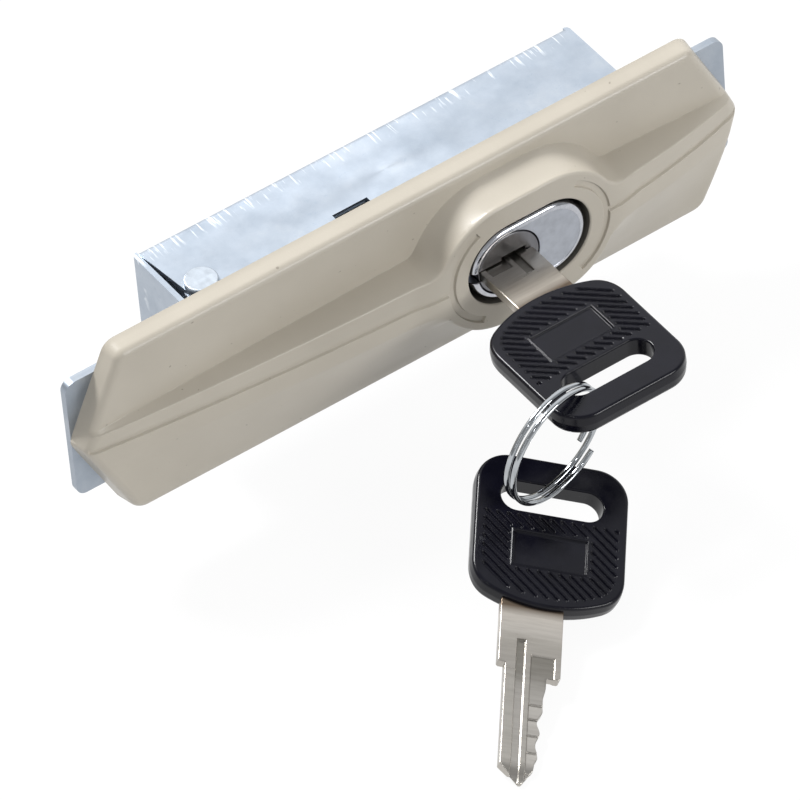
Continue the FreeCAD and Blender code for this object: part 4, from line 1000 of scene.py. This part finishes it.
def make_plug():
    shell = Shell()
    outline, *rings = contours(plug_inside, (PLUG_X, 0), (0.0, 0.05, 0.15, 0.3), 0.4, 0.003)
    keyway, = contours_round(keyway_outside, (PLUG_X, 0.3), (0.0,), 0.4, 0.003)
    shell.relief(
        plug_height, [outline, keyway, *rings], [],
        lambda x, z: np.minimum(plug_inside(x, z), keyway_outside(x, z)),
        (PLUG_X - PLUG_R, PLUG_X + PLUG_R, -PLUG_R, PLUG_R), 1.0, 0.125, 0.006, keep=0.08)
    a = math.degrees(math.asin(WAFER_SLOT_HALF / PLUG_R))
    left, right = PLUG_X + POCKET[0], PLUG_X + POCKET[1]
    slot = rectangle(PLUG_X - KEYWAY_HALF, PLUG_X + KEYWAY_HALF, -KEYWAY_HALF_T, KEYWAY_HALF_T)
    pocket = rectangle(left, right, WAFER_SLOT_HALF, POCKET_TOP)
    above = np.array(arc_points(PLUG_X, 0, PLUG_R, a, 180 - a, 40) + [
        (left, WAFER_SLOT_HALF), (left, POCKET_TOP), (right, POCKET_TOP), (right, WAFER_SLOT_HALF)])
    below = np.array(arc_points(PLUG_X, 0, PLUG_R, 180 + a, 360 - a, 40))
    spigot = flatted(SPIGOT_R, SPIGOT_FLAT)
    slabs = [
        (-SPIGOT_REAR, [spigot], [], 0),
        (-PLUG_REAR, [outline], [], 0),
        (-KEYWAY_REAR, [outline], [slot], 0),
    ]
    for i in range(WAFER_COUNT):
        middle = WAFER_FIRST + i * WAFER_PITCH
        slabs += [
            (middle - POCKET_HALF_T, [outline], [slot, pocket], 0),
            (middle - WAFER_SLOT_HALF_T, [above, below], [], 0),
            (middle + WAFER_SLOT_HALF_T, [outline], [slot, pocket], 0),
            (middle + POCKET_HALF_T, [outline], [slot], 0),
        ]
    slabs.append((FACE_DEPTH - KEYWAY_STEP, [outline], [keyway], 0))
    shell.stack(slabs, plug_height)
    shell.build("plug_face", "plug", "chromed_zinc", ["plug_satin"], "plug")


# Building the keys

def head_inside(w, t):
    """Distance inside the key head's outline: arch at the blade end, rounded corners."""
    side = HEAD_HALF_WIDTH - np.abs(w)
    arch = HEAD_ARCH_R - np.hypot(w, t + HEAD_ARCH_R)
    far = t + HEAD_LENGTH
    body = smooth_min(side, arch, HEAD_SHOULDER_R * 1.6)
    cx, cy = HEAD_HALF_WIDTH - HEAD_CORNER_R, HEAD_CORNER_R - HEAD_LENGTH
    corner = HEAD_CORNER_R - np.hypot(np.abs(w) - cx, t - cy)
    return np.where((np.abs(w) > cx) & (t < cy), corner, np.minimum(body, far))


def head_slot_outside(w, t):
    return -stadium_inside(w, t - HEAD_SLOT_Y, 0.0, HEAD_SLOT_HALF, HEAD_SLOT_R)


def frame_outside(w, t):
    """Distance outside the framed rectangle on the head."""
    return box_outside(w, t, 0, FRAME_CENTRE, *FRAME_HALF)


def rib_cut(w, t):
    """Parallel slanted grooves with round ends, kept inside the head's border and off the frame."""
    along = w * math.cos(RIB_ANGLE) + t * math.sin(RIB_ANGLE)
    across = -w * math.sin(RIB_ANGLE) + t * math.cos(RIB_ANGLE)
    row = np.round(across / RIB_PITCH) * RIB_PITCH
    row_w = along * math.cos(RIB_ANGLE) - row * math.sin(RIB_ANGLE)
    row_t = along * math.sin(RIB_ANGLE) + row * math.cos(RIB_ANGLE)
    room = np.minimum(head_inside(row_w, row_t) - RIB_MARGIN, row_t - RIB_LOW)
    room = np.minimum(room, frame_outside(row_w, row_t) - FRAME_CLEAR + 0.35)
    off = np.hypot(across - row, np.maximum(0.4 - room, 0))
    return RIB_DEPTH * smooth_step(RIB_HALF + 0.12, RIB_HALF - 0.24, off) * (room > -0.3)


def head_height(w, t):
    inside = head_inside(w, t)
    soft = edge_round(inside - HEAD_DRAFT, HEAD_BEVEL)
    panel = FRAME_DEPTH * smooth_step(0.1, -0.15, frame_outside(w, t))
    ridge = -0.16 * smooth_step(0.3, 0.1, np.abs(frame_outside(w, t) - 0.1))
    lip = edge_round(head_slot_outside(w, t), HEAD_SLOT_LIP)
    return HEAD_HALF_T - soft - rib_cut(w, t) - panel - ridge - lip


def key_shell(key):
    across, along = np.array(key["across"], float), np.array(key["along"], float)
    along /= np.linalg.norm(along)
    across -= along * (across @ along)
    across /= np.linalg.norm(across)
    return Shell(across, along, -np.cross(across, along), key["origin"])


def make_key_head(name, body, node, key):
    shell = key_shell(key)
    levels = [HEAD_DRAFT + e for e in (0, 0.15, 0.3, 0.45, 0.6, 0.75)]
    outline, *rings = contours(head_inside, (0.0, -13.0), levels, 0.8, 0.004)
    slot, *lips = contours_round(head_slot_outside, (0.0, HEAD_SLOT_Y), (0.0, 0.03, 0.12, 0.35), 0.6, 0.004)
    for side in (1, -1):
        shell.relief(
            lambda w, t: head_height(side * w, t), [outline, slot, *rings, *lips], [],
            lambda w, t: np.minimum(head_inside(w, t) - HEAD_DRAFT, head_slot_outside(w, t)),
            (-HEAD_HALF_WIDTH, HEAD_HALF_WIDTH, -HEAD_LENGTH, 0), 2.0, 0.125, 0.012, keep=0.2, side=side)
    edge = head_height(*outline.T)
    ahead = np.roll(outline, -1, 0) - np.roll(outline, 1, 0)
    ahead /= np.hypot(*ahead.T)[:, None]
    seam = outline + HEAD_DRAFT * np.stack([ahead[:, 1], -ahead[:, 0]], 1)
    for side in (1, -1):
        shell.skirt(outline, side * edge, seam, side * SEAM_HALF)
    shell.wall(seam, -SEAM_HALF, SEAM_HALF)
    lip = head_height(*slot.T)
    shell.wall(slot, -lip, lip, outward=-1)
    shell.build(name, body, "black_plastic", ["black_plastic"], node)


def blade_outline():
    """Shank, lugs, straight back, scalloped front and pointed tip, anticlockwise."""
    s = SHOULDER_R
    middle = (BLADE_LEFT + BLADE_RIGHT) / 2
    points = [(SHANK_LEFT, BLADE_START), (SHANK_RIGHT, BLADE_START)]
    points += arc_points(SHANK_RIGHT - s, SHOULDER_RIGHT - s, s, 0, 90)
    points.append((BLADE_RIGHT, SHOULDER_RIGHT))
    for (y0, d0), (y1, d1) in zip(BITTING, BITTING[1:]):
        for i in range(10):
            share = (1 - math.cos(math.pi * i / 10)) / 2
            points.append((BLADE_RIGHT - d0 - (d1 - d0) * share, y0 + (y1 - y0) * i / 10))
    points.append((BLADE_RIGHT - BITTING[-1][1], BITTING[-1][0]))
    points += arc_points(middle + KEY_TIP_HALF - 0.5, KEY_TIP - 0.5, 0.5, 30, 90, 4)
    points += arc_points(middle - KEY_TIP_HALF + 0.5, KEY_TIP - 0.5, 0.5, 90, 150, 4)
    points += [(BLADE_LEFT, KEY_TIP - KEY_TIP_RUN), (BLADE_LEFT, SHOULDER_LEFT)]
    points += arc_points(SHANK_LEFT + s, SHOULDER_LEFT - s, s, 90, 180)
    return np.array(points)


def densify(loop, step):
    """The same closed loop with no stretch longer than step."""
    made = []
    for p, q in zip(loop, np.roll(loop, -1, 0)):
        n = max(int(math.ceil(math.hypot(*(q - p)) / step)), 1)
        made += [p + (q - p) * i / n for i in range(n)]
    return np.array(made)


BLADE_LOOP = blade_outline()


def blade_height(w, t):
    inside = polygon_inside(BLADE_LOOP, w, t)
    groove_w, groove_half, groove_depth = KEY_GROOVE
    off = np.maximum(np.abs(w - groove_w) - groove_half, KEY_GROOVE_START - t)
    groove = groove_depth * smooth_step(0.08, -0.1, off)
    milled = smooth_step(0.1, -0.1, np.maximum(MILLED_LEFT - w, MILLED_START - t))
    lug = smooth_step(MILLED_RIGHT + 0.1, MILLED_RIGHT - 0.1, w)
    steps = np.zeros_like(t)
    for start in STEPS:
        past = t - start
        step = STEP_DEPTH * smooth_step(0, 0.15, past) * np.exp(-np.maximum(past, 0) / STEP_FADE)
        steps = np.where(past > 0, step, steps)
    tip = TIP_THINNING * smooth_step(KEY_TIP - KEY_TIP_RUN - 0.4, KEY_TIP, t)
    cut = (MILLED_DEPTH + steps) * milled * lug
    return BLADE_HALF_T - groove - cut - edge_round(inside, BLADE_EDGE_ROUND) - tip


def blade_milled(w, t):
    """Where the blade's face is cut: the long groove and the flat beside the scallops."""
    groove = (np.abs(w - KEY_GROOVE[0]) < KEY_GROOVE[1]) & (t > KEY_GROOVE_START)
    return groove | ((w > MILLED_LEFT) & (w < MILLED_RIGHT) & (t > MILLED_START))


def make_key_blade(name, body, node, key):
    shell = key_shell(key)
    outline = densify(BLADE_LOOP, 0.5)
    for side in (1, -1):
        shell.relief(
            blade_height, [outline], [], lambda w, t: polygon_inside(BLADE_LOOP, w, t),
            (SHANK_LEFT, SHANK_RIGHT, BLADE_START, KEY_TIP), 1.0, 0.125, 0.008, keep=0.06, side=side,
            mark=blade_milled)
    edge = blade_height(*outline.T)
    shell.wall(outline, -edge, edge)
    shell.build(name, body, "nickel_brass", ["nickel_brass", "nickel_milled"], node)


# Building the split ring

def make_ring():
    """Two-turn split ring of flattened wire, its ends ground to a slant."""
    radial, axial = RING_WIRE
    normal = RING_NORMAL / np.linalg.norm(RING_NORMAL)
    rotate = np.array(Vector((0, 0, 1)).rotation_difference(Vector(normal)).to_matrix())
    turns, around, section = 2, 360, 20
    count = turns * around
    points, normals = [], []
    for i in range(count + 1):
        angle = RING_START + 2 * math.pi * i / around
        lift = RING_PITCH * (i / around - turns / 2)
        out = np.array((math.cos(angle), math.sin(angle), 0))
        slim = 0.55 + 0.45 * min(min(i, count - i) / 5, 1)
        for k in range(section):
            a = 2 * math.pi * k / section
            c, s = math.cos(a), math.sin(a)
            c4, s4 = math.copysign(abs(c) ** 0.7, c), math.copysign(abs(s) ** 0.7, s)
            points.append(out * (RING_R + radial * c4 * slim) + np.array((0, 0, lift + axial * s4)))
            normals.append(out * c * axial + np.array((0, 0, s * radial)))
    faces = []
    for i in range(count):
        for k in range(section):
            a, b = i * section + k, i * section + (k + 1) % section
            faces += [(a, b, b + section), (a, b + section, a + section)]
    shell = Shell((1, 0, 0), (0, 1, 0), (0, 0, 1), RING_CENTRE)
    points = np.array(points) @ rotate.T
    normals = np.array(normals)
    normals /= np.linalg.norm(normals, axis=1)[:, None]
    shell.add(points, normals @ rotate.T, faces)
    for start in (0, count * section):
        ring = np.arange(start, start + section)
        middle = points[ring].mean(0)
        cap = np.vstack([points[ring], middle])
        facing = np.cross(points[ring[1]] - middle, points[ring[0]] - middle) * (1 if start == 0 else -1)
        facing /= np.linalg.norm(facing)
        fan = [(k, (k + 1) % section, section) for k in range(section)]
        shell.add(cap, np.tile(facing, (section + 1, 1)), fan)
    shell.build("split_ring", "ring", "ring_steel", ["ring_steel"], "key_ring")


# CAD nodes that stay

NODE_MATERIALS = {
    "zinc_steel": ("case_shell",),
    # The mounting plate takes the darker zinc copy: painted shade.
    "zinc_plate": ("mounting_plate",),
    "screw_steel": (
        "hook_pivot_rivet", "bezel_screws", "guide_studs", "cam_screw", "cam_washer", "pivot_washer"),
    "hook_steel": ("hook_bolt", "slide_bar", "slide_pin", "crank_pin", "cam", "pivot_spacer", "pivot_sleeve"),
    "spring_steel": ("wafer_springs", "housing_clip"),
    "wafer_brass": ("wafer_1", "wafer_2", "wafer_3", "wafer_4", "wafer_5"),
}
BEVELS = {"case_shell": 0.15, "mounting_plate": 0.15, "hook_bolt": 0.2, "slide_bar": 0.15, "cam": 0.15}


def dress_cad_nodes():
    for material, nodes in NODE_MATERIALS.items():
        for node in nodes:
            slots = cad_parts[node].data.materials
            slots.clear()
            slots.append(MATERIALS[material])
    for node, width in BEVELS.items():
        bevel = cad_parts[node].modifiers.new("edge", "BEVEL")
        bevel.width = width * MM
        bevel.segments = 2
        bevel.limit_method = "ANGLE"
        bevel.angle_limit = math.radians(40)
        bevel.harden_normals = True


# Stage, lights and camera

def make_stage():
    """Floor that looks nearly white to the camera and in mirrors, and sends less light back up."""
    low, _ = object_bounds()
    mesh = bpy.data.meshes.new("floor")
    corners = [(x * FLOOR_HALF, y * FLOOR_HALF, low.z) for x, y in ((-1, -1), (1, -1), (1, 1), (-1, 1))]
    mesh.from_pydata(corners, [], [(0, 1, 2, 3)])
    placed("floor", mesh)
    material = bpy.data.materials.new("floor")
    t = Nodes(material)
    path = t.node("LightPath")
    camera = path.outputs["Is Camera Ray"]
    plain = t.node("BsdfDiffuse", t.mix(camera, (0.45, 0.45, 0.45, 1), (0.97, 0.97, 0.97, 1)))
    seen = t.node("Math", camera, path.outputs["Is Glossy Ray"], operation="MAXIMUM")
    share = t.node("Math", seen, FLOOR_GLOW, operation="MULTIPLY")
    t.node("OutputMaterial", t.node("MixShader", share, plain, t.node("Emission", (1, 1, 1, 1))))
    mesh.materials.append(material)


def make_world():
    """Light that is stronger from behind at the right, with plain white in view."""
    world = bpy.data.worlds.new("studio")
    bpy.context.scene.world = world
    t = Nodes(world)
    around = t.node("TexCoord").outputs["Generated"]
    side = t.node("VectorMath", around, (0.42, 0.88, 0.22), operation="DOT_PRODUCT").outputs["Value"]
    levels = ((0.0, 0.66), (0.3, 0.34), (0.6, 0.4), (0.78, 1.1), (0.9, 1.18))
    stops = [(place, (0.98 * level, 0.99 * level, level, 1)) for place, level in levels]
    soft = t.node("Background", t.ramp(t.node("MapRange", side, -1.0), *stops))
    white = t.node("Background", Strength=1.0)
    path = t.node("LightPath").outputs
    seen = t.node("Math", path["Is Camera Ray"], path["Is Transmission Ray"], operation="MAXIMUM")
    t.node("OutputWorld", t.node("MixShader", seen, soft, white))


def area_light(name, place, aim, size, power):
    data = bpy.data.lights.new(name, "AREA")
    data.shape = "RECTANGLE"
    data.size, data.size_y = size
    data.energy = power
    light = placed(name, data)
    light.location = place
    light.rotation_euler = (Vector(aim) - Vector(place)).to_track_quat("-Z", "Y").to_euler()


def make_camera():
    data = bpy.data.cameras.new("camera")
    data.sensor_width = 36.0
    data.lens = CAMERA_LENS
    data.clip_start, data.clip_end = 0.05, 20.0
    camera = placed("camera", data)
    back = (CAMERA_PLACE - CAMERA_AIM).normalized()
    level = Vector((0, 0, 1)).cross(back).normalized()
    right = level * math.cos(CAMERA_ROLL) + back.cross(level) * math.sin(CAMERA_ROLL)
    turn = Matrix((right, back.cross(right), back)).transposed()
    camera.matrix_world = Matrix.Translation(CAMERA_PLACE) @ turn.to_4x4()
    bpy.context.scene.camera = camera


make_bezel()
make_lock_face()
make_plug()
make_key_head("key_head_in_lock", "key", "key_head", LOCK_KEY)
make_key_blade("key_blade_in_lock", "key", "key_blade", LOCK_KEY)
make_key_head("spare_head", "spare_key", "spare_key_head", SPARE_KEY)
make_key_blade("spare_blade", "spare_key", "spare_key_blade", SPARE_KEY)
make_ring()
dress_cad_nodes()
make_stage()
make_world()
area_light("back", (-0.3, 0.75, 1.05), (0, 0, 0), (0.4, 0.4), 19.0)
area_light("front", (0.5, -1.2, 0.55), (0, -0.02, 0), (0.7, 0.35), 8.8)
area_light("strip", (-1.0, -0.1, 0.5), (0, -0.02, 0), (0.06, 0.5), 0.25)
area_light("spark", (-0.8, -0.5, 1.3), (0, -0.02, 0), (0.1, 0.1), 0.9)
make_camera()
bpy.context.scene.view_settings.view_transform = "Standard"
